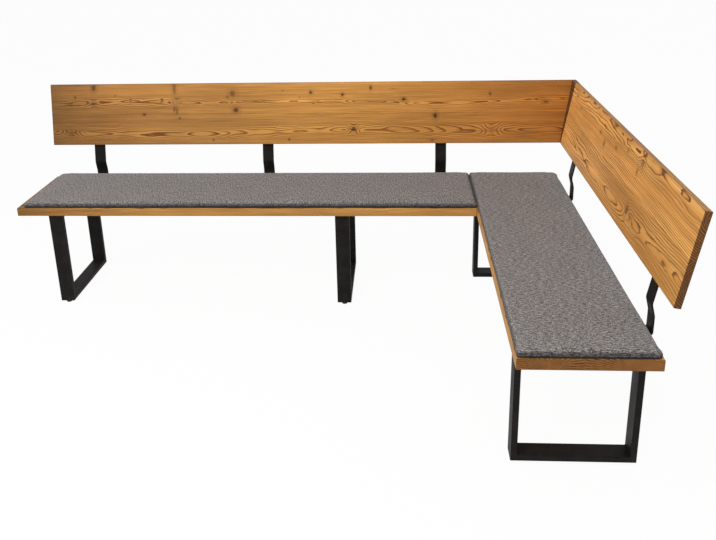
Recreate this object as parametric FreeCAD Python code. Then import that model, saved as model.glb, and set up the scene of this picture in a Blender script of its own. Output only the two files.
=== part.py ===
"""Corner bench: two seat planks and leaning backrests on closed steel sleds, with loose flat cushions.

Millimetres, +Z up. The origin is on the floor, in the middle of the bench's own box. The long bench runs along
+X with its backrest at +Y, and the short bench runs along -Y from the corner with its backrest at +X.

Each bench is drawn in its own local axes: x runs along the bench, y is the depth from the seat's front edge
towards the backrest, and z is the height above the floor. on_long and on_short put a local shape in its place.
"""
import FreeCAD, Part
import math
import os

from FreeCAD import Vector

# Seat planks
LONG_SEAT_LENGTH = 1942.0
SHORT_SEAT_LENGTH = 1471.0
SEAT_DEPTH = 400.0
PLANK_THICKNESS = 35.0
PLANK_EASING = 2.0
BUTT_GAP = 0.5

# Sled frames of rectangular tube, mitred at all four corners
SLED_HEIGHT = 413.0
SLED_FRONT_SETBACK = 19.0
SLED_BACK_SETBACK = 0.0
TUBE_WIDTH = 60.0
TUBE_THICKNESS = 20.0
TUBE_WALL = 2.0
TUBE_CORNER_RADIUS = 2.5
LEFT_SLED_INSET = 123.0
MIDDLE_SLED_INSET = 529.0
CORNER_SLED_INSET = 80.0
END_SLED_INSET = 131.0

# Levelling glides: a domed foot on a threaded stem, in a nut welded inside the skid
GLIDE_HEIGHT = 10.0
GLIDE_RADIUS = 12.5
GLIDE_SOLE_RADIUS = 9.5
GLIDE_RIM_HEIGHT = 6.0
GLIDE_INSET = 15.0
STEM_RADIUS = 4.0
STEM_SEAT_DEPTH = 6.0
STEM_TOP_ROOM = 1.0
NUT_HEIGHT = 6.5
NUT_ACROSS_FLATS = 13.0
THREAD_CLEARANCE = 0.1
STEM_HOLE_CLEARANCE = 0.5
GLIDE_SIDES = 24
STEM_SIDES = 12

# Backrest boards
BACK_HEIGHT = 283.5
BACK_THICKNESS = 20.0
BACK_LEAN = 10.5
BACK_SETBACK = 8.0
BACK_CLEARANCE_OVER_SEAT = 153.0
BACK_EASING = 1.5
SHORT_BACK_END_GAP = 10.0
MITRE_GAP = 0.6

# Backrest supports, bent from flat steel
SUPPORT_WIDTH = 50.0
SUPPORT_THICKNESS = 5.0
SUPPORT_STANDOFF = 22.0
SUPPORT_FOOT_LENGTH = 150.0
SUPPORT_FOOT_WIDTH = 30.0
SUPPORT_NECK_RADIUS = 6.0
SUPPORT_NECK_CLEARANCE = 3.0
SUPPORT_STRAIGHT_RISE = 26.0
SUPPORT_KINK_RISE = 66.0
SUPPORT_BEND_RADIUS = 30.0
SUPPORT_FOOT_BEND_RADIUS = 10.0
SUPPORT_REACH = 230.0
SUPPORT_TIP_RADIUS = 8.0
LONG_SUPPORT_FIRST_INSET = 212.0
LONG_SUPPORT_LAST_INSET = 128.0
LONG_SUPPORT_COUNT = 3
CORNER_SUPPORT_INSET = 204.0
END_SUPPORT_INSET = 207.0

# Joining plates under the seats, and the bracket behind the backrests' mitre
JOINING_PLATE_LENGTH = 240.0
JOINING_PLATE_WIDTH = 60.0
JOINING_PLATE_THICKNESS = 5.0
JOINING_PLATE_DEPTHS = (80.0, 190.0)
PLATE_CORNER_RADIUS = 6.0
BRACKET_LEAF = 75.0
BRACKET_THICKNESS = 3.0
BRACKET_LOW = 62.0
BRACKET_HIGH = 222.0
BRACKET_CORNER_RADIUS = 8.0

# Screws
SEAT_SCREW_RADIUS = 3.0
SEAT_SCREW_HEAD_RADIUS = 5.5
SEAT_SCREW_HEAD_HEIGHT = 4.0
SEAT_SCREW_BITE = 28.0
BACK_SCREW_RADIUS = 2.5
BACK_SCREW_HEAD_RADIUS = 4.8
BACK_SCREW_HEAD_HEIGHT = 3.2
BACK_SCREW_BITE = 15.0
HEAD_SIDES = 8
SHANK_SIDES = 6
PILOT_CLEARANCE = 0.1
PILOT_TIP_ROOM = 1.0
THROUGH_CLEARANCE = 0.5
ACCESS_CLEARANCE = 2.0
SLED_SCREW_COUNT = 4
SLED_SCREW_INSET = 60.0
FOOT_SCREW_INSETS = (20.0, 110.0)
SUPPORT_SCREW_HEIGHTS = (62.0, 202.0)
PLATE_SCREW_INSETS = (25.0, 85.0)
BRACKET_SCREW_INSET = 50.0
BRACKET_SCREW_EDGE = 25.0

# Loose seat cushions
CUSHION_THICKNESS = 20.0
CUSHION_CROWN = 4.5
CUSHION_CROWN_MARGIN = 90.0
CUSHION_CROWN_STEPS = 3
CUSHION_EDGE_ROUND = 9.0
CUSHION_SOLE_INSET = 5.0
CUSHION_LOWER_ANGLES = (90, 40)
CUSHION_UPPER_ANGLES = (0, 30, 60, 90)
CUSHION_CORNER_RADIUS = 22.0
CUSHION_CORNER_FADE = 0.7
CUSHION_DRAW_IN = 3.0
CUSHION_END_INSET = 12.0
CUSHION_FRONT_INSET = 5.0
CUSHION_BACK_INSET = 11.0
SHORT_CUSHION_INNER_INSET = 1.0
SHORT_CUSHION_OUTER_INSET = 10.0
SHORT_CUSHION_FRONT_INSET = 4.0
CUSHION_MEETING_GAP = 1.0

# Heights and depths that follow from the values above
PLANK_BOTTOM = GLIDE_HEIGHT + SLED_HEIGHT
SEAT_TOP = PLANK_BOTTOM + PLANK_THICKNESS
SLED_DEPTH = SEAT_DEPTH - SLED_FRONT_SETBACK - SLED_BACK_SETBACK
LEAN_ACROSS = math.sin(math.radians(BACK_LEAN))
LEAN_UP = math.cos(math.radians(BACK_LEAN))
BACK_LOW_DEPTH = SEAT_DEPTH + BACK_SETBACK
BACK_LOW_HEIGHT = SEAT_TOP + BACK_CLEARANCE_OVER_SEAT
BACK_REACH = BACK_LOW_DEPTH + BACK_HEIGHT * LEAN_ACROSS + BACK_THICKNESS * LEAN_UP
SUPPORT_TOP_REACH = BACK_LOW_DEPTH + SUPPORT_REACH * LEAN_ACROSS + (BACK_THICKNESS + SUPPORT_THICKNESS) * LEAN_UP
OUTER_REACH = max(BACK_REACH, SUPPORT_TOP_REACH)

# The bench's own box, whose middle on the floor is the origin
OVERALL_LENGTH = LONG_SEAT_LENGTH + OUTER_REACH
OVERALL_WIDTH = SHORT_SEAT_LENGTH - SEAT_DEPTH + OUTER_REACH
LEFT_END = -OVERALL_LENGTH / 2
FRONT_END = -OVERALL_WIDTH / 2
CORNER_X = LEFT_END + LONG_SEAT_LENGTH
SEAT_FRONT_Y = FRONT_END + SHORT_SEAT_LENGTH - SEAT_DEPTH
SEAT_BACK_Y = SEAT_FRONT_Y + SEAT_DEPTH

UP = Vector(0, 0, 1)


def on_long(shape, along=0.0):
    """Puts a local shape on the long bench, measured from its free left end."""
    placed = shape.copy()
    placed.translate(Vector(LEFT_END + along, SEAT_FRONT_Y, 0))
    return placed


def on_short(shape, along=0.0):
    """Puts a local shape on the short bench, measured from its back end in the corner."""
    placed = shape.copy()
    placed.rotate(Vector(0, 0, 0), UP, -90)
    placed.translate(Vector(CORNER_X, SEAT_BACK_Y - along, 0))
    return placed


def ring(radius, height, sides):
    """Corners of an even polygon round the z axis."""
    turns = [2 * math.pi * side / sides for side in range(sides)]
    return [Vector(radius * math.cos(turn), radius * math.sin(turn), height) for turn in turns]


def flat_face(corners):
    return Part.Face(Part.makePolygon(corners + corners[:1]))


def turned(levels, sides):
    """A turned solid with few flat faces, through (radius, height) levels from low to high."""
    rings = [ring(radius, height, sides) for radius, height in levels]
    faces = [flat_face(rings[0][::-1]), flat_face(rings[-1])]
    for low, high in zip(rings, rings[1:]):
        for side in range(sides):
            following = (side + 1) % sides
            faces.append(flat_face([low[side], low[following], high[following], high[side]]))
    return Part.makeSolid(Part.makeShell(faces))


def rod(radius, height, base=Vector(0, 0, 0), axis=UP, sides=SHANK_SIDES):
    """A pin, shank or hole with few faces, standing on base along axis."""
    shape = flat_face(ring(radius, 0, sides)).extrude(UP * height)
    shape.Placement = FreeCAD.Placement(base, FreeCAD.Rotation(UP, axis))
    return shape


def prism(outline, axis_length):
    """A profile given as (depth, height) points, extruded along the bench from x = 0."""
    points = [Vector(0, depth, height) for depth, height in outline]
    wire = Part.makePolygon(points + points[:1])
    return Part.Face(wire).extrude(Vector(axis_length, 0, 0))


def cut_all(shape, tools):
    return shape.cut(Part.makeCompound(tools)) if tools else shape


def back_point(up_the_board, behind_front=0.0):
    """(depth, height) of a point on the backrest: up the board from its low edge, behind its front face."""
    depth = BACK_LOW_DEPTH + up_the_board * LEAN_ACROSS + behind_front * LEAN_UP
    height = BACK_LOW_HEIGHT + up_the_board * LEAN_UP - behind_front * LEAN_ACROSS
    return depth, height


BACK_INTO_BOARD = Vector(0, -LEAN_UP, LEAN_ACROSS)


# Screws, with the head below z = 0 and the shank above it
def screw(radius, head_radius, head_height, length):
    head = rod(head_radius, head_height, Vector(0, 0, -head_height), UP, HEAD_SIDES)
    return head.fuse(rod(radius, length))


def seat_screw(grip):
    """A screw up into a seat plank, through steel of thickness grip."""
    length = grip + SEAT_SCREW_BITE
    return screw(SEAT_SCREW_RADIUS, SEAT_SCREW_HEAD_RADIUS, SEAT_SCREW_HEAD_HEIGHT, length)


def back_screw(grip):
    """A screw forward into a backrest board, through steel of thickness grip, turned to the board's lean."""
    length = grip + BACK_SCREW_BITE
    shape = screw(BACK_SCREW_RADIUS, BACK_SCREW_HEAD_RADIUS, BACK_SCREW_HEAD_HEIGHT, length)
    shape.rotate(Vector(0, 0, 0), Vector(1, 0, 0), 90 - BACK_LEAN)
    return shape


def moved(shape, x, y, z):
    placed = shape.copy()
    placed.translate(Vector(x, y, z))
    return placed


def seat_pilot(x, y):
    radius = SEAT_SCREW_RADIUS + PILOT_CLEARANCE
    return rod(radius, SEAT_SCREW_BITE + PILOT_TIP_ROOM, Vector(x, y, PLANK_BOTTOM))


def back_pilot(x, up_the_board):
    depth, height = back_point(up_the_board, BACK_THICKNESS)
    radius = BACK_SCREW_RADIUS + PILOT_CLEARANCE
    return rod(radius, BACK_SCREW_BITE + PILOT_TIP_ROOM, Vector(x, depth, height), BACK_INTO_BOARD)


# Places of the screws, in each bench's local axes
def sled_screw_depths():
    pitch = (SLED_DEPTH - 2 * SLED_SCREW_INSET) / (SLED_SCREW_COUNT - 1)
    return [SLED_FRONT_SETBACK + SLED_SCREW_INSET + pitch * number for number in range(SLED_SCREW_COUNT)]


def foot_start():
    return SEAT_DEPTH + SUPPORT_STANDOFF - SUPPORT_FOOT_LENGTH


def foot_screw_depths():
    return [foot_start() + inset for inset in FOOT_SCREW_INSETS]


def plate_screw_offsets():
    """Distances of a joining plate's screws from the butt joint, to each side of it."""
    return [JOINING_PLATE_LENGTH / 2 - inset for inset in PLATE_SCREW_INSETS]


def bracket_screw_heights():
    return [BRACKET_LOW + BRACKET_SCREW_EDGE, BRACKET_HIGH - BRACKET_SCREW_EDGE]


LONG_SLEDS = {
    "left_sled": LEFT_SLED_INSET,
    "middle_sled": LONG_SEAT_LENGTH - MIDDLE_SLED_INSET - TUBE_WIDTH,
}
SHORT_SLEDS = {
    "corner_sled": CORNER_SLED_INSET,
    "end_sled": SHORT_SEAT_LENGTH - END_SLED_INSET - TUBE_WIDTH,
}
LONG_SUPPORT_SPAN = LONG_SEAT_LENGTH - LONG_SUPPORT_FIRST_INSET - LONG_SUPPORT_LAST_INSET
LONG_SUPPORT_PITCH = LONG_SUPPORT_SPAN / (LONG_SUPPORT_COUNT - 1)
LONG_SUPPORTS = {
    f"long_back_support_{number + 1}": LONG_SUPPORT_FIRST_INSET + LONG_SUPPORT_PITCH * number
    for number in range(LONG_SUPPORT_COUNT)
}
SHORT_SUPPORTS = {
    "short_back_support_1": CORNER_SUPPORT_INSET,
    "short_back_support_2": SHORT_SEAT_LENGTH - END_SUPPORT_INSET,
}


# Seat planks
def eased(shape, radius):
    """Rounds the edges that run along a plank or board, then breaks the edges round its square ends."""
    along_x = shape.BoundBox.XLength > shape.BoundBox.YLength
    reach = max(shape.BoundBox.XLength, shape.BoundBox.YLength)
    shape = shape.makeFillet(radius, [edge for edge in shape.Edges if edge.Length > reach / 2])
    ends = [face for face in shape.Faces if is_square_end(face, along_x)]
    return shape.makeChamfer(radius / 2, [edge for face in ends for edge in face.Edges])


def is_square_end(face, along_x):
    box = face.BoundBox
    return (box.XLength if along_x else box.YLength) < 1e-6


def seat_pilots(sled_insets, support_places):
    sled_places = [inset + TUBE_WIDTH / 2 for inset in sled_insets]
    pilots = [seat_pilot(x, depth) for x in sled_places for depth in sled_screw_depths()]
    return pilots + [seat_pilot(x, depth) for x in support_places for depth in foot_screw_depths()]


def plate_pilots(side):
    """Pilots of the joining plates' screws to one side of the butt joint, placed as their screws are."""
    places = [LONG_SEAT_LENGTH + side * offset for offset in plate_screw_offsets()]
    return [on_long(seat_pilot(x, depth)) for depth in JOINING_PLATE_DEPTHS for x in places]


def long_seat_plank():
    length = LONG_SEAT_LENGTH - BUTT_GAP
    plank = Part.makeBox(length, SEAT_DEPTH, PLANK_THICKNESS, Vector(0, 0, PLANK_BOTTOM))
    pilots = seat_pilots(LONG_SLEDS.values(), LONG_SUPPORTS.values())
    return cut_all(on_long(cut_all(eased(plank, PLANK_EASING), pilots)), plate_pilots(-1))


def short_seat_plank():
    plank = Part.makeBox(SHORT_SEAT_LENGTH, SEAT_DEPTH, PLANK_THICKNESS, Vector(0, 0, PLANK_BOTTOM))
    pilots = seat_pilots(SHORT_SLEDS.values(), SHORT_SUPPORTS.values())
    return cut_all(on_short(cut_all(eased(plank, PLANK_EASING), pilots)), plate_pilots(1))


# Backrest boards, mitred on the upright plane that halves the corner
def board(length):
    outline = [back_point(0), back_point(BACK_HEIGHT)]
    outline += [back_point(BACK_HEIGHT, BACK_THICKNESS), back_point(0, BACK_THICKNESS)]
    return prism(outline, length)


def corner_wedge(long_side):
    """All that lies on one bench's side of the mitre plane, in world axes, less half the mitre gap."""
    size = OVERALL_LENGTH + OVERALL_WIDTH
    shift = MITRE_GAP / 2 * math.sqrt(2)
    corner = Vector(CORNER_X, SEAT_FRONT_Y, 0) + Vector(-shift if long_side else shift, 0, 0)
    far = [Vector(-size, -size, 0), Vector(size, size, 0)]
    third = Vector(-size, size, 0) if long_side else Vector(size, -size, 0)
    points = [corner + offset for offset in (far[0], far[1], third)]
    return Part.Face(Part.makePolygon(points + points[:1])).extrude(UP * size)


def long_backrest_board():
    reach = LONG_SEAT_LENGTH + BACK_REACH
    shape = on_long(board(reach)).common(corner_wedge(True))
    pilots = [back_pilot(x, up) for x in LONG_SUPPORTS.values() for up in SUPPORT_SCREW_HEIGHTS]
    pilots += [back_pilot(bracket_screw_along_long(up), up) for up in bracket_screw_heights()]
    return cut_all(eased(shape, BACK_EASING), [on_long(pilot) for pilot in pilots])


def short_backrest_board():
    start = SEAT_DEPTH - BACK_REACH
    length = SHORT_SEAT_LENGTH - SHORT_BACK_END_GAP - start
    shape = on_short(moved(board(length), start, 0, 0)).common(corner_wedge(False))
    pilots = [back_pilot(x, up) for x in SHORT_SUPPORTS.values() for up in SUPPORT_SCREW_HEIGHTS]
    pilots += [back_pilot(bracket_screw_along_short(up), up) for up in bracket_screw_heights()]
    return cut_all(eased(shape, BACK_EASING), [on_short(pilot) for pilot in pilots])


# Sled frames, each in the local axes with its tube's left side at x = 0
def tube(length):
    """A square-cut tube along +Z: TUBE_WIDTH along x, TUBE_THICKNESS along y."""
    outer = Part.makeBox(TUBE_WIDTH, TUBE_THICKNESS, length)
    uprights = [edge for edge in outer.Edges if edge.BoundBox.ZLength > length / 2]
    outer = outer.makeFillet(TUBE_CORNER_RADIUS, uprights)
    bore_width = TUBE_WIDTH - 2 * TUBE_WALL
    bore_thickness = TUBE_THICKNESS - 2 * TUBE_WALL
    bore = Part.makeBox(bore_width, bore_thickness, length, Vector(TUBE_WALL, TUBE_WALL, 0))
    return outer.cut(bore)


def sled_corners():
    """Outer and inner corners of the sled's side view, as (depth, height), from low front round to low back."""
    front, back = SLED_FRONT_SETBACK, SLED_FRONT_SETBACK + SLED_DEPTH
    low, high = GLIDE_HEIGHT, PLANK_BOTTOM
    outer = [(front, low), (front, high), (back, high), (back, low)]
    t = TUBE_THICKNESS
    inner = [(front + t, low + t), (front + t, high - t), (back - t, high - t), (back - t, low + t)]
    return outer, inner


def mitred(tube_shape, side):
    """Keeps what lies between the mitres of one side of the sled: 0 front, 1 top, 2 back, 3 bottom."""
    outer, inner = sled_corners()
    following = (side + 1) % 4
    outline = [outer[side], outer[following], inner[following], inner[side]]
    return tube_shape.common(prism(outline, TUBE_WIDTH))


def upright_tube(depth):
    return moved(tube(SLED_HEIGHT), 0, depth, GLIDE_HEIGHT)


def level_tube(height):
    shape = tube(SLED_DEPTH)
    shape.rotate(Vector(0, 0, 0), Vector(1, 0, 0), -90)
    return moved(shape, 0, SLED_FRONT_SETBACK, height + TUBE_THICKNESS)


def sled_top_bar():
    bar = mitred(level_tube(PLANK_BOTTOM - TUBE_THICKNESS), 1)
    holes = []
    for depth in sled_screw_depths():
        base = Vector(TUBE_WIDTH / 2, depth, PLANK_BOTTOM - TUBE_THICKNESS)
        access = SEAT_SCREW_HEAD_RADIUS + ACCESS_CLEARANCE
        holes.append(rod(access, TUBE_THICKNESS / 2, base))
        holes.append(rod(SEAT_SCREW_RADIUS + THROUGH_CLEARANCE, TUBE_THICKNESS, base))
    return cut_all(bar, holes)


def glide_places():
    """Depths of a sled's two glides."""
    return {"front": SLED_FRONT_SETBACK + GLIDE_INSET, "back": SLED_FRONT_SETBACK + SLED_DEPTH - GLIDE_INSET}


def sled_skid():
    skid = mitred(level_tube(GLIDE_HEIGHT), 3)
    radius = STEM_RADIUS + STEM_HOLE_CLEARANCE
    holes = [
        rod(radius, TUBE_THICKNESS / 2, Vector(TUBE_WIDTH / 2, depth, GLIDE_HEIGHT), UP, STEM_SIDES)
        for depth in glide_places().values()
    ]
    return cut_all(skid, holes)


def sled_parts():
    return {
        "front_leg": mitred(upright_tube(SLED_FRONT_SETBACK), 0),
        "top_bar": sled_top_bar(),
        "back_leg": mitred(upright_tube(SLED_FRONT_SETBACK + SLED_DEPTH - TUBE_THICKNESS), 2),
        "skid": sled_skid(),
    }


def sled_screws():
    height = PLANK_BOTTOM - TUBE_WALL
    return [moved(seat_screw(TUBE_WALL), TUBE_WIDTH / 2, depth, height) for depth in sled_screw_depths()]


# Levelling glides, on the z axis with their soles on the floor
def glide_foot():
    levels = [
        (GLIDE_SOLE_RADIUS, 0),
        (GLIDE_RADIUS, GLIDE_HEIGHT - GLIDE_RIM_HEIGHT),
        (GLIDE_RADIUS, GLIDE_HEIGHT),
    ]
    stem_seat = rod(STEM_RADIUS, STEM_SEAT_DEPTH, UP * (GLIDE_HEIGHT - STEM_SEAT_DEPTH), UP, STEM_SIDES)
    return turned(levels, GLIDE_SIDES).cut(stem_seat)


def glide_stem():
    bottom = GLIDE_HEIGHT - STEM_SEAT_DEPTH
    top = GLIDE_HEIGHT + TUBE_THICKNESS - TUBE_WALL - STEM_TOP_ROOM
    return rod(STEM_RADIUS, top - bottom, UP * bottom, UP, STEM_SIDES)


def glide_nut():
    nut = rod(NUT_ACROSS_FLATS / 2 / math.cos(math.pi / 6), NUT_HEIGHT, sides=6)
    nut = nut.cut(rod(STEM_RADIUS + THREAD_CLEARANCE, NUT_HEIGHT, sides=STEM_SIDES))
    return moved(nut, 0, 0, GLIDE_HEIGHT + TUBE_WALL)


# Backrest supports, bent from one flat bar: a foot under the plank, a short upright, a kink forward and the lean
def support_line():
    """The bar's front face as (depth, height): foot end, foot bend, upright's top, kink, upper end."""
    upright = SEAT_DEPTH + SUPPORT_STANDOFF
    kink_height = SEAT_TOP + SUPPORT_KINK_RISE
    low_depth, low_height = back_point(0, BACK_THICKNESS)
    kink_depth = low_depth - (low_height - kink_height) * LEAN_ACROSS / LEAN_UP
    return [
        (foot_start(), PLANK_BOTTOM),
        (upright, PLANK_BOTTOM),
        (upright, SEAT_TOP + SUPPORT_STRAIGHT_RISE),
        (kink_depth, kink_height),
        back_point(SUPPORT_REACH, BACK_THICKNESS),
    ]


def unit(start, end):
    length = math.dist(start, end)
    return (end[0] - start[0]) / length, (end[1] - start[1]) / length


def bent_side(line, radii, offset):
    """Edges of one face of a bent strip, offset to the right of the line, with arcs round the line's corners."""
    edges = []
    runs = [unit(a, b) for a, b in zip(line, line[1:])]

    def aside(point, run, distance):
        return point[0] + run[1] * distance, point[1] - run[0] * distance

    start = aside(line[0], runs[0], offset)
    for corner, radius, before, after in zip(line[1:-1], radii, runs, runs[1:]):
        turn = before[0] * after[1] - before[1] * after[0]
        side = -1 if turn > 0 else 1
        half = math.acos(max(-1.0, min(1.0, before[0] * after[0] + before[1] * after[1]))) / 2
        back_off = radius * math.tan(half)
        first = (corner[0] - before[0] * back_off, corner[1] - before[1] * back_off)
        last = (corner[0] + after[0] * back_off, corner[1] + after[1] * back_off)
        centre = aside(first, before, side * radius)
        middle_run = unit((0, 0), (before[0] + after[0], before[1] + after[1]))
        arc_start = aside(first, before, offset)
        arc_end = aside(last, after, offset)
        arc_middle = aside(centre, middle_run, offset - side * radius)
        edges.append(Part.LineSegment(as_vector(start), as_vector(arc_start)).toShape())
        edges.append(Part.Arc(as_vector(arc_start), as_vector(arc_middle), as_vector(arc_end)).toShape())
        start = arc_end
    edges.append(Part.LineSegment(as_vector(start), as_vector(aside(line[-1], runs[-1], offset))).toShape())
    return edges


def as_vector(point):
    return Vector(0, point[0], point[1])


def back_support():
    """One support, centred on x = 0."""
    line = support_line()
    radii = [SUPPORT_FOOT_BEND_RADIUS, SUPPORT_BEND_RADIUS, SUPPORT_BEND_RADIUS]
    front = bent_side(line, radii, 0.0)
    rear = bent_side(line, radii, SUPPORT_THICKNESS)
    ends = [
        Part.LineSegment(front[0].Vertexes[0].Point, rear[0].Vertexes[0].Point).toShape(),
        Part.LineSegment(front[-1].Vertexes[-1].Point, rear[-1].Vertexes[-1].Point).toShape(),
    ]
    wire = Part.Wire(Part.__sortEdges__(front + rear + ends))
    bar = moved(Part.Face(wire).extrude(Vector(SUPPORT_WIDTH, 0, 0)), -SUPPORT_WIDTH / 2, 0, 0)
    bar = cut_all(bar, foot_neck_cuts())
    tips = [edge for edge in bar.Edges if is_tip(edge)]
    return cut_all(bar.makeFillet(SUPPORT_TIP_RADIUS, tips), support_holes())


def is_tip(edge):
    """The short edges across the bar's thickness at its two ends."""
    box = edge.BoundBox
    at_end = box.YMax < foot_start() + 1e-6 or box.ZMin > BACK_LOW_HEIGHT
    return at_end and box.XLength < 1e-6 and abs(edge.Length - SUPPORT_THICKNESS) < 1e-6


def foot_neck_cuts():
    """What the foot loses on both sides under the seat, so that it passes beside a sled's top bar."""
    width = (SUPPORT_WIDTH - SUPPORT_FOOT_WIDTH) / 2
    length = SUPPORT_FOOT_LENGTH - SUPPORT_STANDOFF + SUPPORT_NECK_CLEARANCE
    cuts = []
    for low_x, corner_x in ((-SUPPORT_WIDTH / 2, -SUPPORT_FOOT_WIDTH / 2), (SUPPORT_FOOT_WIDTH / 2,) * 2):
        base = Vector(low_x, foot_start(), PLANK_BOTTOM - SUPPORT_THICKNESS)
        cut = Part.makeBox(width, length, SUPPORT_THICKNESS, base)
        neck = [edge for edge in cut.Edges if is_neck_corner(edge, corner_x, foot_start() + length)]
        cuts.append(cut.makeFillet(SUPPORT_NECK_RADIUS, neck))
    return cuts


def is_neck_corner(edge, x, depth):
    box = edge.BoundBox
    upright = abs(box.ZLength - SUPPORT_THICKNESS) < 1e-6
    return upright and abs(box.XMin - x) < 1e-6 and abs(box.YMin - depth) < 1e-6


def support_holes():
    holes = [
        rod(
            SEAT_SCREW_RADIUS + THROUGH_CLEARANCE,
            SUPPORT_THICKNESS,
            Vector(0, depth, PLANK_BOTTOM - SUPPORT_THICKNESS),
        )
        for depth in foot_screw_depths()
    ]
    for up in SUPPORT_SCREW_HEIGHTS:
        depth, height = back_point(up, BACK_THICKNESS + SUPPORT_THICKNESS)
        radius = BACK_SCREW_RADIUS + THROUGH_CLEARANCE
        holes.append(rod(radius, SUPPORT_THICKNESS, Vector(0, depth, height), BACK_INTO_BOARD))
    return holes


def support_foot_screws():
    height = PLANK_BOTTOM - SUPPORT_THICKNESS
    return [moved(seat_screw(SUPPORT_THICKNESS), 0, depth, height) for depth in foot_screw_depths()]


def support_board_screws():
    places = [back_point(up, BACK_THICKNESS + SUPPORT_THICKNESS) for up in SUPPORT_SCREW_HEIGHTS]
    return [moved(back_screw(SUPPORT_THICKNESS), 0, depth, height) for depth, height in places]


# Joining plates across the butt joint, in the long bench's local axes
def joining_plate(depth):
    base = Vector(
        LONG_SEAT_LENGTH - JOINING_PLATE_LENGTH / 2,
        depth - JOINING_PLATE_WIDTH / 2,
        PLANK_BOTTOM - JOINING_PLATE_THICKNESS,
    )
    plate = Part.makeBox(JOINING_PLATE_LENGTH, JOINING_PLATE_WIDTH, JOINING_PLATE_THICKNESS, base)
    uprights = [edge for edge in plate.Edges if abs(edge.BoundBox.ZLength - JOINING_PLATE_THICKNESS) < 1e-6]
    plate = plate.makeFillet(PLATE_CORNER_RADIUS, uprights)
    radius = SEAT_SCREW_RADIUS + THROUGH_CLEARANCE
    holes = [rod(radius, JOINING_PLATE_THICKNESS, Vector(x, depth, base.z)) for x in plate_screw_places()]
    return on_long(cut_all(plate, holes))


def plate_screw_places():
    offsets = plate_screw_offsets()
    return [LONG_SEAT_LENGTH + side * offset for side in (-1, 1) for offset in offsets]


def joining_plate_screws():
    height = PLANK_BOTTOM - JOINING_PLATE_THICKNESS
    shape = seat_screw(JOINING_PLATE_THICKNESS)
    places = [(x, depth) for depth in JOINING_PLATE_DEPTHS for x in plate_screw_places()]
    return [on_long(moved(shape, x, depth, height)) for x, depth in places]


# Corner bracket: two leaves on the boards' back faces, bent along the mitre
def bracket_leaf(length):
    front, rear = BACK_THICKNESS, BACK_THICKNESS + BRACKET_THICKNESS
    outline = [back_point(BRACKET_LOW, front), back_point(BRACKET_HIGH, front)]
    outline += [back_point(BRACKET_HIGH, rear), back_point(BRACKET_LOW, rear)]
    return prism(outline, length)


def mitre_depth(up_the_board):
    return back_point(up_the_board, BACK_THICKNESS)[0]


def bracket_screw_along_long(up_the_board):
    return LONG_SEAT_LENGTH + mitre_depth(up_the_board) - BRACKET_SCREW_INSET


def bracket_screw_along_short(up_the_board):
    return SEAT_DEPTH - mitre_depth(up_the_board) + BRACKET_SCREW_INSET


def leaf_pair(half_leaf_start):
    """The two leaves up to the mitre plane, before they are joined."""
    size = BRACKET_LEAF + BACK_REACH
    plane_shift = MITRE_GAP / 2 * math.sqrt(2)
    long_leaf = moved(bracket_leaf(size), LONG_SEAT_LENGTH + half_leaf_start, 0, 0)
    short_leaf = moved(bracket_leaf(size), SEAT_DEPTH - half_leaf_start - size, 0, 0)
    long_side = moved(corner_wedge(True), plane_shift, 0, 0)
    short_side = moved(corner_wedge(False), -plane_shift, 0, 0)
    return on_long(long_leaf).common(long_side), on_short(short_leaf).common(short_side)


def corner_bracket():
    long_leaf, short_leaf = leaf_pair(mitre_depth(BRACKET_LOW) - BRACKET_LEAF)
    holes = []
    radius = BACK_SCREW_RADIUS + THROUGH_CLEARANCE
    for up in bracket_screw_heights():
        depth, height = back_point(up, BACK_THICKNESS + BRACKET_THICKNESS)
        for place, along in ((on_long, bracket_screw_along_long(up)), (on_short, bracket_screw_along_short(up))):
            holes.append(place(rod(radius, BRACKET_THICKNESS, Vector(along, depth, height), BACK_INTO_BOARD)))
    bracket = long_leaf.fuse(short_leaf).removeSplitter()
    corners = [edge for edge in bracket.Edges if abs(edge.Length - BRACKET_THICKNESS) < 1e-6]
    return cut_all(bracket.makeFillet(BRACKET_CORNER_RADIUS, corners), holes)


def corner_bracket_screws():
    screws = []
    for up in bracket_screw_heights():
        depth, height = back_point(up, BACK_THICKNESS + BRACKET_THICKNESS)
        shape = back_screw(BRACKET_THICKNESS)
        screws.append(on_long(moved(shape, bracket_screw_along_long(up), depth, height)))
        screws.append(on_short(moved(shape, bracket_screw_along_short(up), depth, height)))
    return screws


# Cushions: a stack of outlines whose sides draw in between the corners, from the sole up to the crown
def cushion_outline(length, depth, inset, height):
    corner = CUSHION_CORNER_RADIUS * (1 - CUSHION_CORNER_FADE * inset / CUSHION_CROWN_MARGIN)
    low_x, high_x, low_y, high_y = inset, length - inset, inset, depth - inset
    draw = CUSHION_DRAW_IN
    sides = [
        ((low_x + corner, low_y), (length / 2, low_y + draw), (high_x - corner, low_y)),
        ((high_x, low_y + corner), (high_x - draw, depth / 2), (high_x, high_y - corner)),
        ((high_x - corner, high_y), (length / 2, high_y - draw), (low_x + corner, high_y)),
        ((low_x, high_y - corner), (low_x + draw, depth / 2), (low_x, low_y + corner)),
    ]
    cut = corner * (1 - math.sqrt(0.5))
    corner_middles = [
        (high_x - cut, low_y + cut),
        (high_x - cut, high_y - cut),
        (low_x + cut, high_y - cut),
        (low_x + cut, low_y + cut),
    ]
    edges = []
    for side, following, middle in zip(sides, sides[1:] + sides[:1], corner_middles):
        for arc in (side, (side[2], middle, following[0])):
            edges.append(Part.Arc(*[Vector(x, y, height) for x, y in arc]).toShape())
    return Part.Wire(edges)


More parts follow.
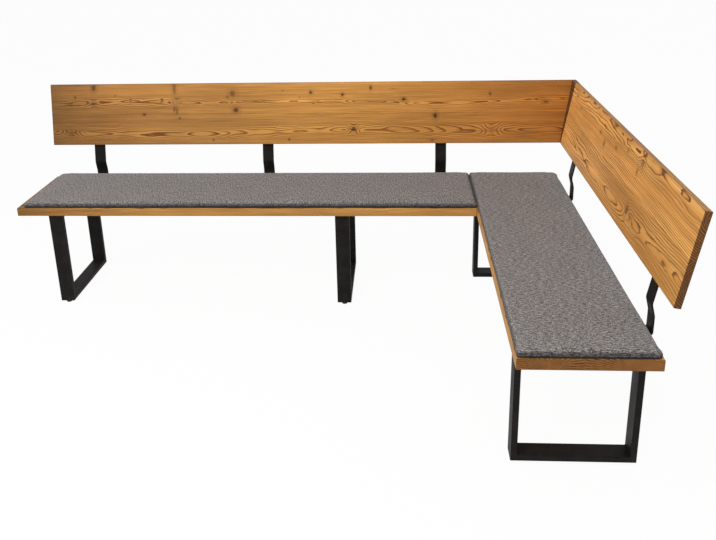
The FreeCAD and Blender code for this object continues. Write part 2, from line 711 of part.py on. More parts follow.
def cushion_levels():
    """(inset, height) of each outline: the rounded edge as a quarter ellipse below and above its widest line,
    then the crown, which rises ever less towards the middle."""
    half = CUSHION_THICKNESS / 2
    levels = []
    for angle in CUSHION_LOWER_ANGLES:
        bend = math.radians(angle)
        levels.append((CUSHION_SOLE_INSET * (1 - math.cos(bend)), half - half * math.sin(bend)))
    for angle in CUSHION_UPPER_ANGLES:
        bend = math.radians(angle)
        levels.append((CUSHION_EDGE_ROUND * (1 - math.cos(bend)), half + half * math.sin(bend)))
    for step in range(1, CUSHION_CROWN_STEPS + 1):
        share = step / CUSHION_CROWN_STEPS
        inset = CUSHION_EDGE_ROUND + (CUSHION_CROWN_MARGIN - CUSHION_EDGE_ROUND) * share
        levels.append((inset, CUSHION_THICKNESS + CUSHION_CROWN * math.sin(math.pi / 2 * share)))
    return levels


def cushion(length, depth):
    """A flat foam pad with a rounded edge and a slight crown, lying on z = SEAT_TOP from x = y = 0."""
    outlines = [cushion_outline(length, depth, inset, SEAT_TOP + height) for inset, height in cushion_levels()]
    return Part.makeLoft(outlines, True, True)


def long_seat_cushion():
    length = LONG_SEAT_LENGTH - CUSHION_END_INSET - CUSHION_MEETING_GAP
    depth = SEAT_DEPTH - CUSHION_FRONT_INSET - CUSHION_BACK_INSET
    return on_long(moved(cushion(length, depth), CUSHION_END_INSET, CUSHION_FRONT_INSET, 0))


def short_seat_cushion():
    length = SHORT_SEAT_LENGTH - CUSHION_BACK_INSET - SHORT_CUSHION_FRONT_INSET
    depth = SEAT_DEPTH - SHORT_CUSHION_INNER_INSET - SHORT_CUSHION_OUTER_INSET
    return on_short(moved(cushion(length, depth), CUSHION_BACK_INSET, SHORT_CUSHION_INNER_INSET, 0))


def all_nodes():
    nodes = {
        "long_seat_plank": long_seat_plank(),
        "short_seat_plank": short_seat_plank(),
        "long_backrest_board": long_backrest_board(),
        "short_backrest_board": short_backrest_board(),
        "long_seat_cushion": long_seat_cushion(),
        "short_seat_cushion": short_seat_cushion(),
        "joining_plate_front": joining_plate(JOINING_PLATE_DEPTHS[0]),
        "joining_plate_back": joining_plate(JOINING_PLATE_DEPTHS[1]),
        "backrest_corner_bracket": corner_bracket(),
        "joining_plate_screws": Part.makeCompound(joining_plate_screws()),
        "corner_bracket_screws": Part.makeCompound(corner_bracket_screws()),
    }
    sled_places = [(name, on_long, inset) for name, inset in LONG_SLEDS.items()]
    sled_places += [(name, on_short, inset) for name, inset in SHORT_SLEDS.items()]
    support_places = [(name, on_long, along) for name, along in LONG_SUPPORTS.items()]
    support_places += [(name, on_short, along) for name, along in SHORT_SUPPORTS.items()]

    screws, nuts = [], []
    for sled, place, inset in sled_places:
        for part, shape in sled_parts().items():
            nodes[f"{sled}_{part}"] = place(shape, inset)
        screws += [place(shape, inset) for shape in sled_screws()]
        for end, depth in glide_places().items():
            for piece, shape in (("glide_foot", glide_foot()), ("glide_stem", glide_stem())):
                nodes[f"{sled}_{end}_{piece}"] = place(moved(shape, TUBE_WIDTH / 2, depth, 0), inset)
            nuts.append(place(moved(glide_nut(), TUBE_WIDTH / 2, depth, 0), inset))
    nodes["sled_screws"] = Part.makeCompound(screws)
    nodes["glide_nuts"] = Part.makeCompound(nuts)

    foot_screws, board_screws = [], []
    for name, place, along in support_places:
        nodes[name] = place(back_support(), along)
        foot_screws += [place(shape, along) for shape in support_foot_screws()]
        board_screws += [place(shape, along) for shape in support_board_screws()]
    nodes["support_foot_screws"] = Part.makeCompound(foot_screws)
    nodes["support_board_screws"] = Part.makeCompound(board_screws)
    return nodes


def write_parts():
    os.makedirs("parts", exist_ok=True)
    for name, shape in all_nodes().items():
        shape.exportStep(f"parts/{name}.step")
        print(f"{name}: {len(shape.Solids)} solid(s), {shape.Volume / 1000:.1f} cm3, valid {shape.isValid()}")
    print(f"bench {OVERALL_LENGTH:.0f} x {OVERALL_WIDTH:.0f}, seat top at {SEAT_TOP:.0f}")


write_parts()
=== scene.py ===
# %% [markdown]
# A corner bench, dressed for a studio picture.
#
# The bench is two thick seat planks that meet in a corner, two leaning backrest boards that meet in a
# mitre, and four closed frames of black steel tube that carry it. Two thin cushions lie loose on the
# seats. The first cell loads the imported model, which stays where it is: every piece made here is drawn
# in metres in that same frame.

# %% Load the frame
import math

import bmesh
import bpy
from mathutils import Matrix, Vector


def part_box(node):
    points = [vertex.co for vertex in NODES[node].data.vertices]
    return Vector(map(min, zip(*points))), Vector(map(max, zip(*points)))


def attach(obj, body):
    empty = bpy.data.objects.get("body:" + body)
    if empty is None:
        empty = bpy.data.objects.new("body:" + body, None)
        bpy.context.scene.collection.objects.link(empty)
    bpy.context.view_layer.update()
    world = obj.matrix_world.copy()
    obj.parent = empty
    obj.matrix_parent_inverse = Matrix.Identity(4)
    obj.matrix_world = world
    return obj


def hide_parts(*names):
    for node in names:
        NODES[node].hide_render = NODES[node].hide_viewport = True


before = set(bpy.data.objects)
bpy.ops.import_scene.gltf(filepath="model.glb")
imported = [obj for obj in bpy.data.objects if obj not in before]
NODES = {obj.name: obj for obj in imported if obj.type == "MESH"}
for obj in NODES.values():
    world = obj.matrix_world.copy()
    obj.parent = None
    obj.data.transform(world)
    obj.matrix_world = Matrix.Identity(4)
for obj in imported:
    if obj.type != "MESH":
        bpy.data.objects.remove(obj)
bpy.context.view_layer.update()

# %% [markdown]
# The camera. The photograph was taken from standing height, a little under 3 m in front of the long
# bench, and its upright lines run almost parallel, as when a tall picture is cropped. A shifted lens
# gives that look. The shift is kept small, so that the bench stays in the frame when the same lens
# looks at it from other sides, and the camera tilts down for the rest.

# %% Camera
PHOTO_WIDTH = 716
SENSOR_WIDTH = 36.0
FOCAL_PIXELS = 745.2
CAMERA_PLACE = Vector((0.4177, -2.5618, 1.6383))
CAMERA_PITCH = 17.24
CAMERA_YAW = -3.40
CAMERA_ROLL = -1.29
CAMERA_SHIFT = -0.18


def aim(place, pitch, yaw, roll):
    """The camera's place and turn: yaw clockwise from +Y, pitch downwards and roll about its own axis."""
    turn = Matrix.Rotation(math.radians(-yaw), 4, "Z")
    turn = turn @ Matrix.Rotation(math.radians(90 - pitch), 4, "X")
    turn = turn @ Matrix.Rotation(math.radians(roll), 4, "Z")
    return Matrix.Translation(place) @ turn


lens = bpy.data.cameras.new("camera")
lens.sensor_fit = "HORIZONTAL"
lens.sensor_width = SENSOR_WIDTH
lens.lens = FOCAL_PIXELS * SENSOR_WIDTH / PHOTO_WIDTH
lens.shift_y = CAMERA_SHIFT
camera = bpy.data.objects.new("camera", lens)
camera.matrix_world = aim(CAMERA_PLACE, CAMERA_PITCH, CAMERA_YAW, CAMERA_ROLL)
bpy.context.scene.collection.objects.link(camera)
bpy.context.scene.camera = camera
print("lens", round(lens.lens, 2), "mm")

# %% [markdown]
# Small helpers for node materials. A material is a graph of nodes, and with these it reads like a sum:
# add_node makes a node with its settings, fill joins or sets its inputs, and the others are the few
# nodes that every finish here is made of. A noise is given as a field, which is its stretch along three
# axes and its detail.

# %% Node helpers
# where the colour sockets of a Mix node are
MIX_FACTOR, MIX_FIRST, MIX_SECOND, MIX_RESULT = 0, 6, 7, 2


def is_socket(value):
    return isinstance(value, bpy.types.NodeSocket)


def fill(tree, node, inputs):
    """Joins a node's inputs to other nodes' outputs, or sets them to values."""
    for name, value in inputs.items():
        if is_socket(value):
            tree.links.new(value, node.inputs[name])
        else:
            node.inputs[name].default_value = value


def add_node(tree, kind, inputs=None, **settings):
    node = tree.nodes.new("ShaderNode" + kind)
    for name, value in settings.items():
        setattr(node, name, value)
    fill(tree, node, inputs or {})
    return node


def maths(tree, operation, first, second=0.0, third=0.0):
    return add_node(tree, "Math", {0: first, 1: second, 2: third}, operation=operation).outputs[0]


def vector_maths(tree, operation, *vectors, output="Vector"):
    return add_node(tree, "VectorMath", dict(enumerate(vectors)), operation=operation).outputs[output]


def split(tree, vector):
    """The three parts of a vector."""
    return add_node(tree, "SeparateXYZ", {0: vector}).outputs


def ramp(tree, factor, stops, interpolation="LINEAR"):
    """A colour ramp's node, with stops of a position and a colour, whose alpha is 1 where none is given."""
    node = add_node(tree, "ValToRGB", {"Fac": factor})
    node.color_ramp.interpolation = interpolation
    elements = node.color_ramp.elements
    while len(elements) < len(stops):
        elements.new(1.0)
    for element, (position, colour) in zip(elements, stops):
        element.position = position
        element.color = (*colour, 1.0)[:4]
    return node


def smooth_range(tree, value, start, end, low=0.0, high=1.0):
    """Eases from low to high while value runs from start to end."""
    inputs = {"Value": value, "From Min": start, "From Max": end, "To Min": low, "To Max": high}
    return add_node(tree, "MapRange", inputs, interpolation_type="SMOOTHSTEP").outputs[0]


def noise(tree, place, stretch, detail=2.0, roughness=0.5):
    """Noise between 0 and 1, read at place times stretch."""
    scaled = vector_maths(tree, "MULTIPLY", place, stretch)
    inputs = {"Vector": scaled, "Scale": 1.0, "Detail": detail, "Roughness": roughness}
    return add_node(tree, "TexNoise", inputs).outputs["Fac"]


def marks(tree, place, field, span):
    """Noise with a field's stretch and detail, eased over a span as smooth_range takes it."""
    return smooth_range(tree, noise(tree, place, *field), *span)


def sway(tree, place, field, size):
    """Noise with a field's stretch and detail, as a push of up to half of size either way."""
    return maths(tree, "MULTIPLY", maths(tree, "SUBTRACT", noise(tree, place, *field), 0.5), size)


def grey(tree, value):
    return add_node(tree, "CombineColor", {0: value, 1: value, 2: value}).outputs[0]


def mix_colour(tree, factor, first, second, blend="MIX"):
    node = add_node(tree, "Mix", data_type="RGBA", blend_type=blend)
    first, second = (value if is_socket(value) else (*value, 1.0) for value in (first, second))
    fill(tree, node, {MIX_FACTOR: factor, MIX_FIRST: first, MIX_SECOND: second})
    return node.outputs[MIX_RESULT]


def shaded(tree, colour, factor):
    """The colour times a factor."""
    return mix_colour(tree, 1.0, colour, grey(tree, factor), "MULTIPLY")


def new_material(name):
    """An empty material with its shader joined to the output: (material, tree, shader)."""
    material = bpy.data.materials.new(name)
    material.use_nodes = True
    tree = material.node_tree
    tree.nodes.clear()
    shader = tree.nodes.new("ShaderNodeBsdfPrincipled")
    output = tree.nodes.new("ShaderNodeOutputMaterial")
    tree.links.new(shader.outputs[0], output.inputs["Surface"])
    return material, tree, shader


def object_place(tree):
    return add_node(tree, "TexCoord").outputs["Object"]


def bump(tree, height, distance, strength):
    inputs = {"Height": height, "Distance": distance, "Strength": strength}
    return add_node(tree, "Bump", inputs).outputs["Normal"]


def paint(piece, material):
    piece.data.materials.clear()
    piece.data.materials.append(material)


print("node helpers ready")

# %% [markdown]
# The wood's pattern is laid on from the corners of the planks and boards, so the main sizes come first.
# Both seats are equally deep, and the boards' low front edges stand a little behind the seats' back
# edges.

# %% Main sizes
SEAT_DEPTH = 0.400
LONG_LENGTH = 1.942
SHORT_LENGTH = 1.471
BACK_LEAN = math.radians(10.5)
BACK_HEIGHT = 0.2835
BACK_LOW = 0.611
BACK_BEHIND_SEAT = 0.408
LEFT_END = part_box("long_seat_plank")[0][0]
SEAT_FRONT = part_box("long_seat_plank")[0][1]
SEAT_BACK = SEAT_FRONT + SEAT_DEPTH
CORNER_X = LEFT_END + LONG_LENGTH
print("corner between the seats at x", round(CORNER_X, 4), "back edge at y", round(SEAT_BACK, 4))

# %% [markdown]
# Spruce is drawn as solid wood. A tree's rings are tubes round its pith, so the colour at a point
# depends on how far the point lies from the pith line. Cut through those tubes and the flames, flecks
# and straight lines of real boards appear by themselves, and the end grain shows the same rings as
# arcs. Each stave that is glued into a board has its own pith, so the pattern changes at the glue
# lines. A knot pushes the rings aside and has a dark core in a browner halo.

# %% Spruce as solid wood
EARLY_WOOD = (0.600, 0.305, 0.078)
MIDDLE_WOOD = (0.480, 0.215, 0.046)
LATE_WOOD = (0.235, 0.082, 0.016)
# the darkest wood, for knots and glue lines, and the colour of the painted shade along board edges and the
# mitre
DARK_WOOD_AND_PAINTED_SHADE = (0.060, 0.017, 0.006)
PLANK_END_TINT = (0.47, 0.39, 0.35)
BOARD_END_TINT = (0.25, 0.20, 0.19)

# places in a ring from 0 to 1, the reach of its dark line round the late wood's start, and its end grain
EARLY_END = 0.42
MIDDLE_LEAD = 0.13
LATE_START = 0.87
LATE_END = 0.97
LINE_LEAD = 0.07
LINE_TAIL = 0.06
END_RINGS = (0.45, 0.90, 1.0, 0.62)

# how far behind its face a pith may lie, and what gives each stave a noise and a tone of its own
PITH_REACH = 0.2
STAVE_STEP = 37.0
TONE_STEP = 3.2
STAVE_TONES = (0.92, 1.06)

# widths in metres, and darkness, of what shows at ends, edges, glue lines and the mitre: the edges' darkness
# is painted shade, and the mitre's is a dark joint with painted shade
END_SKIN = 0.0022
EDGE_PAINTED_SHADE_WIDTH = 0.0035
EDGE_PAINTED_SHADE_DARK = 0.40
GLUE_LINE = 0.0007
GLUE_DARK = 0.45
MITRE_LINE = 0.0012
MITRE_FULL = 0.4
MITRE_JOINT_AND_PAINTED_SHADE_DARK = 0.8

# in a knot's own half sizes, where its push, its core and its halo begin and where they are full
PUSH_REACH = (3.6, 0.6)
CORE_REACH = (1.2, 0.6)
HALO_REACH = (2.8, 0.9)
KNOT_PUSH = 0.5
KNOT_HALO = 0.3

# fields that bend the rings, along, across and out of the face, and how far: in metres, or in rings
WANDER = ((1.1, 3.0, 3.0), 1.0)
DRIFT = ((1.0, 3.0, 3.0), 1.0)
FLAME = ((2.6, 11.0, 11.0), 2.0)
CHEVRON = ((24.0, 45.0, 45.0), 1.0)
RIPPLE = ((12.0, 90.0, 90.0), 2.0)
ROUGH = (((70.0, 90.0, 90.0), 2.0), ((90.0, 70.0, 70.0), 2.0))
WANDER_SIZE = 0.05
ROUGH_SIZES = (0.007, 0.006)
DRIFT_RINGS = 9.0
CHEVRON_RINGS = 5.0
RIPPLE_RINGS = 0.35

# fields that tint the wood, each with its span: two values of the noise, and the factors there
CALM = (((1.3, 13.0, 13.0), 2.0), (0.42, 0.60, 0.02))
FIBRE = (((5.0, 330.0, 330.0), 3.0), (0.25, 0.75, 0.76, 1.20))
BAND = (((0.9, 60.0, 60.0), 3.0), (0.30, 0.70, 0.87, 1.12))
CLOUD = (((2.2, 9.0, 9.0), 3.0), (0.25, 0.75, 0.86, 1.14))
RING_RELIEF = 0.4
GRAIN_HEIGHT = 0.00012


def stave_values(tree, share, staves):
    """Pith across and behind the face, seed and fleck strength of the stave at a share of the width."""
    stops = [
        (start, (pith_across, pith_behind / PITH_REACH, seed, fleck))
        for start, pith_across, pith_behind, seed, fleck in staves
    ]
    node = ramp(tree, share, stops, "CONSTANT")
    pith_across, pith_behind, seed = split(tree, node.outputs["Color"])
    return pith_across, pith_behind, seed, node.outputs["Alpha"]


def knot_layers(tree, flat, knots):
    """Adds up what the knots do: how far they push the rings, and how dark they are."""
    push, core = 0.0, 0.0
    for along, up, half_length, half_height, darkness in knots:
        scale = (1 / half_length, 1 / half_height, 0.0)
        middle = (-along * scale[0], -up * scale[1], 0.0)
        from_middle = vector_maths(tree, "MULTIPLY_ADD", flat, scale, middle)
        away = vector_maths(tree, "LENGTH", from_middle, output="Value")
        push = maths(tree, "ADD", smooth_range(tree, away, *PUSH_REACH, 0.0, half_height * KNOT_PUSH), push)
        for reach, share in ((CORE_REACH, 1.0), (HALO_REACH, KNOT_HALO)):
            core = maths(tree, "MAXIMUM", smooth_range(tree, away, *reach, 0.0, darkness * share), core)
    return push, core


def glue_shade(tree, across, width, staves):
    """A thin darker line where two staves are glued."""
    shade = 0.0
    for start, *_ in staves[1:]:
        gap = maths(tree, "ABSOLUTE", maths(tree, "SUBTRACT", across, start * width))
        shade = maths(tree, "MAXIMUM", smooth_range(tree, gap, GLUE_LINE, 0.0, 0.0, GLUE_DARK), shade)
    return shade


def mitre_joint_and_painted_shade(tree, place):
    """The dark joint where two boards meet on the upright plane that halves the corner, darkened further by
    painted shade.
    """
    square_to_plane = (math.sqrt(0.5), -math.sqrt(0.5), 0.0)
    depth = vector_maths(tree, "DOT_PRODUCT", place, square_to_plane, output="Value")
    plane = (CORNER_X - SEAT_FRONT) * math.sqrt(0.5)
    gap = maths(tree, "ABSOLUTE", maths(tree, "SUBTRACT", depth, plane))
    return smooth_range(tree, gap, MITRE_LINE, MITRE_LINE * MITRE_FULL, 0.0, MITRE_JOINT_AND_PAINTED_SHADE_DARK)


def painted_shade_on_board_edges(tree, place, along, across, width):
    """Painted shade along a board's low, top and first edges, where they are eased and turn from the light,
    and at its mitre.
    """
    low = smooth_range(tree, across, EDGE_PAINTED_SHADE_WIDTH, 0.0, 0.0, EDGE_PAINTED_SHADE_DARK)
    top = smooth_range(tree, across, width - EDGE_PAINTED_SHADE_WIDTH, width, 0.0, EDGE_PAINTED_SHADE_DARK)
    first = smooth_range(tree, along, EDGE_PAINTED_SHADE_WIDTH, 0.0, 0.0, EDGE_PAINTED_SHADE_DARK)
    shade = maths(tree, "MAXIMUM", maths(tree, "MAXIMUM", low, top), first)
    return maths(tree, "MAXIMUM", shade, mitre_joint_and_painted_shade(tree, place))


def ring_radius(tree, local, shifted, width, ring, flame_size, stave, knots):
    """Distance from the stave's pith line, which wanders and is pushed by knots, and the knots' darkness."""
    pith_share, pith_behind, fleck = stave
    _, across, out = split(tree, local)
    wander = sway(tree, shifted, WANDER, WANDER_SIZE)
    drift = sway(tree, shifted, DRIFT, DRIFT_RINGS * ring)
    flame = sway(tree, shifted, FLAME, flame_size)
    chevron = maths(tree, "MULTIPLY", sway(tree, shifted, CHEVRON, CHEVRON_RINGS * ring), fleck)
    ripple = sway(tree, shifted, RIPPLE, RIPPLE_RINGS * ring)

    across_gap = maths(tree, "SUBTRACT", across, maths(tree, "MULTIPLY", pith_share, width))
    across_gap = maths(tree, "ADD", across_gap, wander)
    behind_gap = maths(tree, "MULTIPLY_ADD", pith_behind, PITH_REACH, out)
    behind_gap = maths(tree, "ADD", behind_gap, drift)
    behind_gap = maths(tree, "ADD", behind_gap, maths(tree, "ADD", flame, chevron))
    gaps = add_node(tree, "CombineXYZ", {0: across_gap, 1: behind_gap}).outputs[0]
    radius = vector_maths(tree, "LENGTH", gaps, output="Value")
    shakes = {axis: sway(tree, shifted, ROUGH[axis], ROUGH_SIZES[axis]) for axis in (0, 1)}
    rough = add_node(tree, "CombineXYZ", shakes).outputs[0]
    push, core = knot_layers(tree, vector_maths(tree, "ADD", local, rough), knots)
    return maths(tree, "ADD", maths(tree, "ADD", ripple, radius), push), core


def ring_colour(tree, phase, late_start):
    """Light early wood, which darkens towards the thin line of late wood that ends a ring."""
    stops = (
        (0.0, EARLY_WOOD), (EARLY_END, EARLY_WOOD), (late_start - MIDDLE_LEAD, MIDDLE_WOOD),
        (late_start, LATE_WOOD), (LATE_END, LATE_WOOD), (1.0, EARLY_WOOD))
    return ramp(tree, phase, stops).outputs["Color"]


def wood_tint(tree, shifted, fibre, stave_seed):
    """Fibres, long bands, clouds and the stave's own tone, as one factor."""
    band = marks(tree, shifted, *BAND)
    cloud = marks(tree, shifted, *CLOUD)
    tone_share = maths(tree, "FRACT", maths(tree, "MULTIPLY", stave_seed, TONE_STEP))
    stave_tone = smooth_range(tree, tone_share, 0.0, 1.0, *STAVE_TONES)
    lines = maths(tree, "MULTIPLY", fibre, band)
    return maths(tree, "MULTIPLY", lines, maths(tree, "MULTIPLY", cloud, stave_tone))


def spruce(name, corner, turn, size, ring, staves, knots=(), light_and_tones=(), seed=0.0, calm_most=0.6,
           flame_size=0.03, late_start=LATE_START, line_shade=0.8, board=False):
    """Spruce for a piece whose local axes run along, across and out of its face, from its corner."""
    material, tree, shader = new_material(name)
    length, width = size
    place = object_place(tree)
    inputs = {"Vector": place, "Location": corner, "Rotation": turn}
    local = add_node(tree, "Mapping", inputs, vector_type="TEXTURE").outputs[0]
    along, across, out = split(tree, local)
    share = maths(tree, "DIVIDE", across, width)
    pith_share, pith_behind, stave_seed, fleck = stave_values(tree, share, staves)
    first_end = maths(tree, "LESS_THAN", along, END_SKIN)
    last_end = maths(tree, "GREATER_THAN", along, length - END_SKIN)
    ends = maths(tree, "MAXIMUM", first_end, last_end)

    # each stave reads its own part of the noise
    offset = maths(tree, "MULTIPLY_ADD", stave_seed, STAVE_STEP, seed)
    further = maths(tree, "ADD", along, offset)
    shifted = add_node(tree, "CombineXYZ", {0: further, 1: across, 2: out}).outputs[0]
    stave = (pith_share, pith_behind, fleck)
    radius, core = ring_radius(tree, local, shifted, width, ring, flame_size, stave, knots)
    phase = maths(tree, "FRACT", maths(tree, "DIVIDE", radius, ring))

    # rings, which are quiet where the wood is calm, their dark lines, and then the finer marks
    wood = ring_colour(tree, phase, late_start)
    calm_field, calm_span = CALM
    calm = marks(tree, shifted, calm_field, (*calm_span, calm_most))
    calm = maths(tree, "MULTIPLY", calm, maths(tree, "SUBTRACT", 1.0, ends))
    wood = mix_colour(tree, calm, wood, MIDDLE_WOOD)
    line = smooth_range(tree, phase, late_start - LINE_LEAD, late_start + LINE_TAIL, 1.0, line_shade)
    wood = shaded(tree, wood, line)
    fibre = marks(tree, shifted, *FIBRE)
    wood = shaded(tree, wood, wood_tint(tree, shifted, fibre, stave_seed))
    # tones along the piece: partly the wood's own colour, partly painted light and shade where the lamps
    # fall
    if light_and_tones:
        tone = ramp(tree, maths(tree, "DIVIDE", along, length), light_and_tones).outputs["Color"]
        wood = mix_colour(tree, 1.0, wood, tone, "MULTIPLY")
    wood = mix_colour(tree, core, wood, DARK_WOOD_AND_PAINTED_SHADE)
    wood = mix_colour(tree, glue_shade(tree, across, width, staves), wood, DARK_WOOD_AND_PAINTED_SHADE)

    # end grain drinks the most oil, and its rings stand out
    end_wood = mix_colour(tree, 1.0, wood, BOARD_END_TINT if board else PLANK_END_TINT, "MULTIPLY")
    end_wood = shaded(tree, end_wood, smooth_range(tree, phase, *END_RINGS))
    wood = mix_colour(tree, ends, wood, end_wood)
    # painted shade along a board's eased edges, and a dark joint with painted shade at its mitre
    if board:
        wood = mix_colour(tree, painted_shade_on_board_edges(tree, place, along, across, width), wood, DARK_WOOD_AND_PAINTED_SHADE)

    relief = maths(tree, "ADD", maths(tree, "MULTIPLY", phase, RING_RELIEF), fibre)
    fill(tree, shader, {
        "Base Color": wood,
        "Normal": bump(tree, relief, GRAIN_HEIGHT, strength=0.5),
        "Roughness": 0.55,
        "Specular IOR Level": 0.18,
    })
    return material


print("spruce ready")

# %% [markdown]
# The backrest boards are each glued from two staves, so a joint line runs along the middle of their
# height. The knots lie where the photograph shows them, given as distance along the board from its
# start and up from its low edge. The long board is darker at its free end and redder towards the
# corner.

# %% Backrest boards
# place along and up, half length, half height and darkness
LONG_BOARD_KNOTS = (
    (0.205, 0.266, 0.011, 0.015, 0.75),
    (0.115, 0.223, 0.004, 0.004, 0.95),
    (0.200, 0.192, 0.013, 0.007, 0.75),
    (0.306, 0.230, 0.004, 0.004, 0.60),
    (0.378, 0.211, 0.004, 0.004, 0.80),
    (0.440, 0.141, 0.008, 0.005, 0.95),
    (0.526, 0.209, 0.004, 0.005, 0.95),
    (0.586, 0.262, 0.009, 0.030, 0.55),
    (0.597, 0.214, 0.014, 0.005, 0.50),
    (0.583, 0.165, 0.005, 0.014, 0.60),
    (0.595, 0.157, 0.005, 0.016, 0.65),
    (0.607, 0.123, 0.004, 0.004, 0.95),
    (0.088, 0.054, 0.018, 0.014, 0.55),
    (0.761, 0.020, 0.004, 0.004, 0.95),
    (0.857, 0.236, 0.014, 0.016, 0.60),
    (0.834, 0.219, 0.007, 0.007, 0.50),
    (0.871, 0.159, 0.013, 0.012, 0.85),
    (1.090, 0.246, 0.004, 0.002, 0.70),
    (1.115, 0.022, 0.004, 0.004, 0.95),
    (1.169, 0.216, 0.003, 0.003, 0.60),
    (1.220, 0.237, 0.007, 0.007, 0.95),
    (1.231, 0.187, 0.004, 0.003, 0.80),
    (1.365, 0.226, 0.007, 0.007, 0.95),
    (1.495, 0.257, 0.006, 0.009, 0.85),
    (1.598, 0.251, 0.014, 0.002, 0.50),
    (1.415, 0.067, 0.011, 0.011, 0.85),
    (1.645, 0.203, 0.010, 0.008, 0.90),
    (1.788, 0.127, 0.010, 0.014, 0.90),
    (2.035, 0.224, 0.005, 0.007, 0.85),
    (2.285, 0.187, 0.012, 0.006, 0.65),
    (2.045, 0.061, 0.017, 0.012, 0.35),
    (1.774, 0.014, 0.010, 0.006, 0.55),
)

# tones along a board, partly painted light and shade, and staves: start, pith across and behind, seed, and
# strength of the flecks
# the long board's darker free end and lighter middle are partly painted shade and light of the lamp's
# falloff, along with the wood's own colour changes
LONG_BOARD_LIGHT_AND_TONES = (
    (0.0, (0.35, 0.33, 0.35)),
    (0.03, (0.46, 0.43, 0.43)),
    (0.12, (0.72, 0.67, 0.68)),
    (0.28, (0.88, 0.86, 0.90)),
    (0.45, (1.08, 1.06, 1.00)),
    (0.62, (1.07, 1.03, 0.93)),
    (0.80, (0.92, 0.80, 0.68)),
    (1.0, (0.84, 0.64, 0.45)),
)
LONG_BOARD_STAVES = ((0.0, 0.21, 0.040, 0.44, 0.03), (0.5, 0.70, 0.020, 0.61, 0.15))
SHORT_BOARD_KNOTS = (
    (0.084, 0.244, 0.010, 0.012, 0.40),
    (0.179, 0.211, 0.009, 0.004, 0.60),
    (0.506, 0.207, 0.012, 0.006, 0.60),
    (0.576, 0.184, 0.008, 0.012, 0.65),
    (0.712, 0.210, 0.012, 0.006, 0.55),
    (0.832, 0.239, 0.008, 0.008, 0.45),
    (0.983, 0.246, 0.014, 0.018, 0.50),
    (0.955, 0.208, 0.006, 0.012, 0.65),
    (0.962, 0.074, 0.011, 0.016, 0.75),
    (1.004, 0.059, 0.008, 0.006, 0.55),
)
# the short board's tones stand well above 1: painted light, for the stronger light it takes from the left
SHORT_BOARD_LIGHT_AND_TONES = ((0.0, (1.58, 1.58, 1.92)), (0.5, (1.28, 1.22, 1.34)), (1.0, (1.24, 1.25, 1.38)))
SHORT_BOARD_STAVES = ((0.0, 0.24, 0.046, 0.33, 0.1), (0.5, 0.95, 0.035, 0.84, 0.1))

# the long board's painted length runs past its mitre, so that the mitre isn't taken for an end
PAST_MITRE = 0.08
LONG_BOARD_LENGTH = LONG_LENGTH + BACK_BEHIND_SEAT + PAST_MITRE
SHORT_BOARD_LENGTH = SEAT_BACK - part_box("short_backrest_board")[0][1]
board_turn = math.pi / 2 - BACK_LEAN

long_board_wood = spruce(
    "spruce_long_backrest",
    corner=(LEFT_END, SEAT_FRONT + BACK_BEHIND_SEAT, BACK_LOW), turn=(board_turn, 0.0, 0.0),
    size=(LONG_BOARD_LENGTH, BACK_HEIGHT), ring=0.0032,
    staves=LONG_BOARD_STAVES, knots=LONG_BOARD_KNOTS, light_and_tones=LONG_BOARD_LIGHT_AND_TONES,
    calm_most=0.36, flame_size=0.034, late_start=0.80, line_shade=0.84, board=True)
short_board_wood = spruce(
    "spruce_short_backrest",
    corner=(CORNER_X + BACK_BEHIND_SEAT, SEAT_BACK, BACK_LOW), turn=(board_turn, 0.0, -math.pi / 2),
    size=(SHORT_BOARD_LENGTH, BACK_HEIGHT), ring=0.0066,
    staves=SHORT_BOARD_STAVES, knots=SHORT_BOARD_KNOTS, light_and_tones=SHORT_BOARD_LIGHT_AND_TONES,
    seed=4.0, calm_most=0.80, flame_size=0.055, line_shade=0.50, board=True)
paint(NODES["long_backrest_board"], long_board_wood)
paint(NODES["short_backrest_board"], short_board_wood)
print("boards painted")

# %% [markdown]
# The seat planks are 35 mm thick and glued from several lamellae of different widths. Little of them
# shows beside the cushions: their front edges, the end grain at the short bench's front and a strip at
# each free end.

# %% Seat planks
PLANK_BOTTOM = 0.423
LONG_PLANK_STAVES = (
    (0.0, 0.10, 0.075, 0.07, 0.1),
    (0.21, 0.34, 0.020, 0.42, 0.1),
    (0.42, 0.50, 0.080, 0.93, 0.1),
    (0.63, 0.78, 0.030, 0.27, 0.1),
    (0.82, 0.95, 0.070, 0.70, 0.1),
)
# the long plank's darker free end is partly painted shade, as on the long board
LONG_PLANK_LIGHT_AND_TONES = (
    (0.0, (0.47, 0.46, 0.44)),
    (0.10, (0.63, 0.60, 0.57)),
    (0.30, (0.96, 0.98, 1.02)),
    (1.0, (0.98, 0.98, 1.02)),
)
SHORT_PLANK_STAVES = (
    (0.0, 0.02, 0.060, 0.15, 0.1),
    (0.205, 0.16, 0.030, 0.57, 0.1),
    (0.2525, 0.46, 0.090, 0.36, 0.1),
    (0.60, 0.64, 0.055, 0.81, 0.1),
    (0.725, 0.99, 0.030, 0.22, 0.1),
)
long_plank_wood = spruce(
    "spruce_long_seat",
    corner=(LEFT_END, SEAT_FRONT, PLANK_BOTTOM), turn=(0.0, 0.0, 0.0),
    size=(LONG_LENGTH, SEAT_DEPTH), ring=0.0046,
    staves=LONG_PLANK_STAVES, light_and_tones=LONG_PLANK_LIGHT_AND_TONES, seed=8.0)
short_plank_wood = spruce(
    "spruce_short_seat",
    corner=(CORNER_X, SEAT_BACK, PLANK_BOTTOM), turn=(0.0, 0.0, -math.pi / 2),
    size=(SHORT_LENGTH, SEAT_DEPTH), ring=0.0056,
    staves=SHORT_PLANK_STAVES, seed=12.0)
paint(NODES["long_seat_plank"], long_plank_wood)
paint(NODES["short_seat_plank"], short_plank_wood)
print("planks painted")

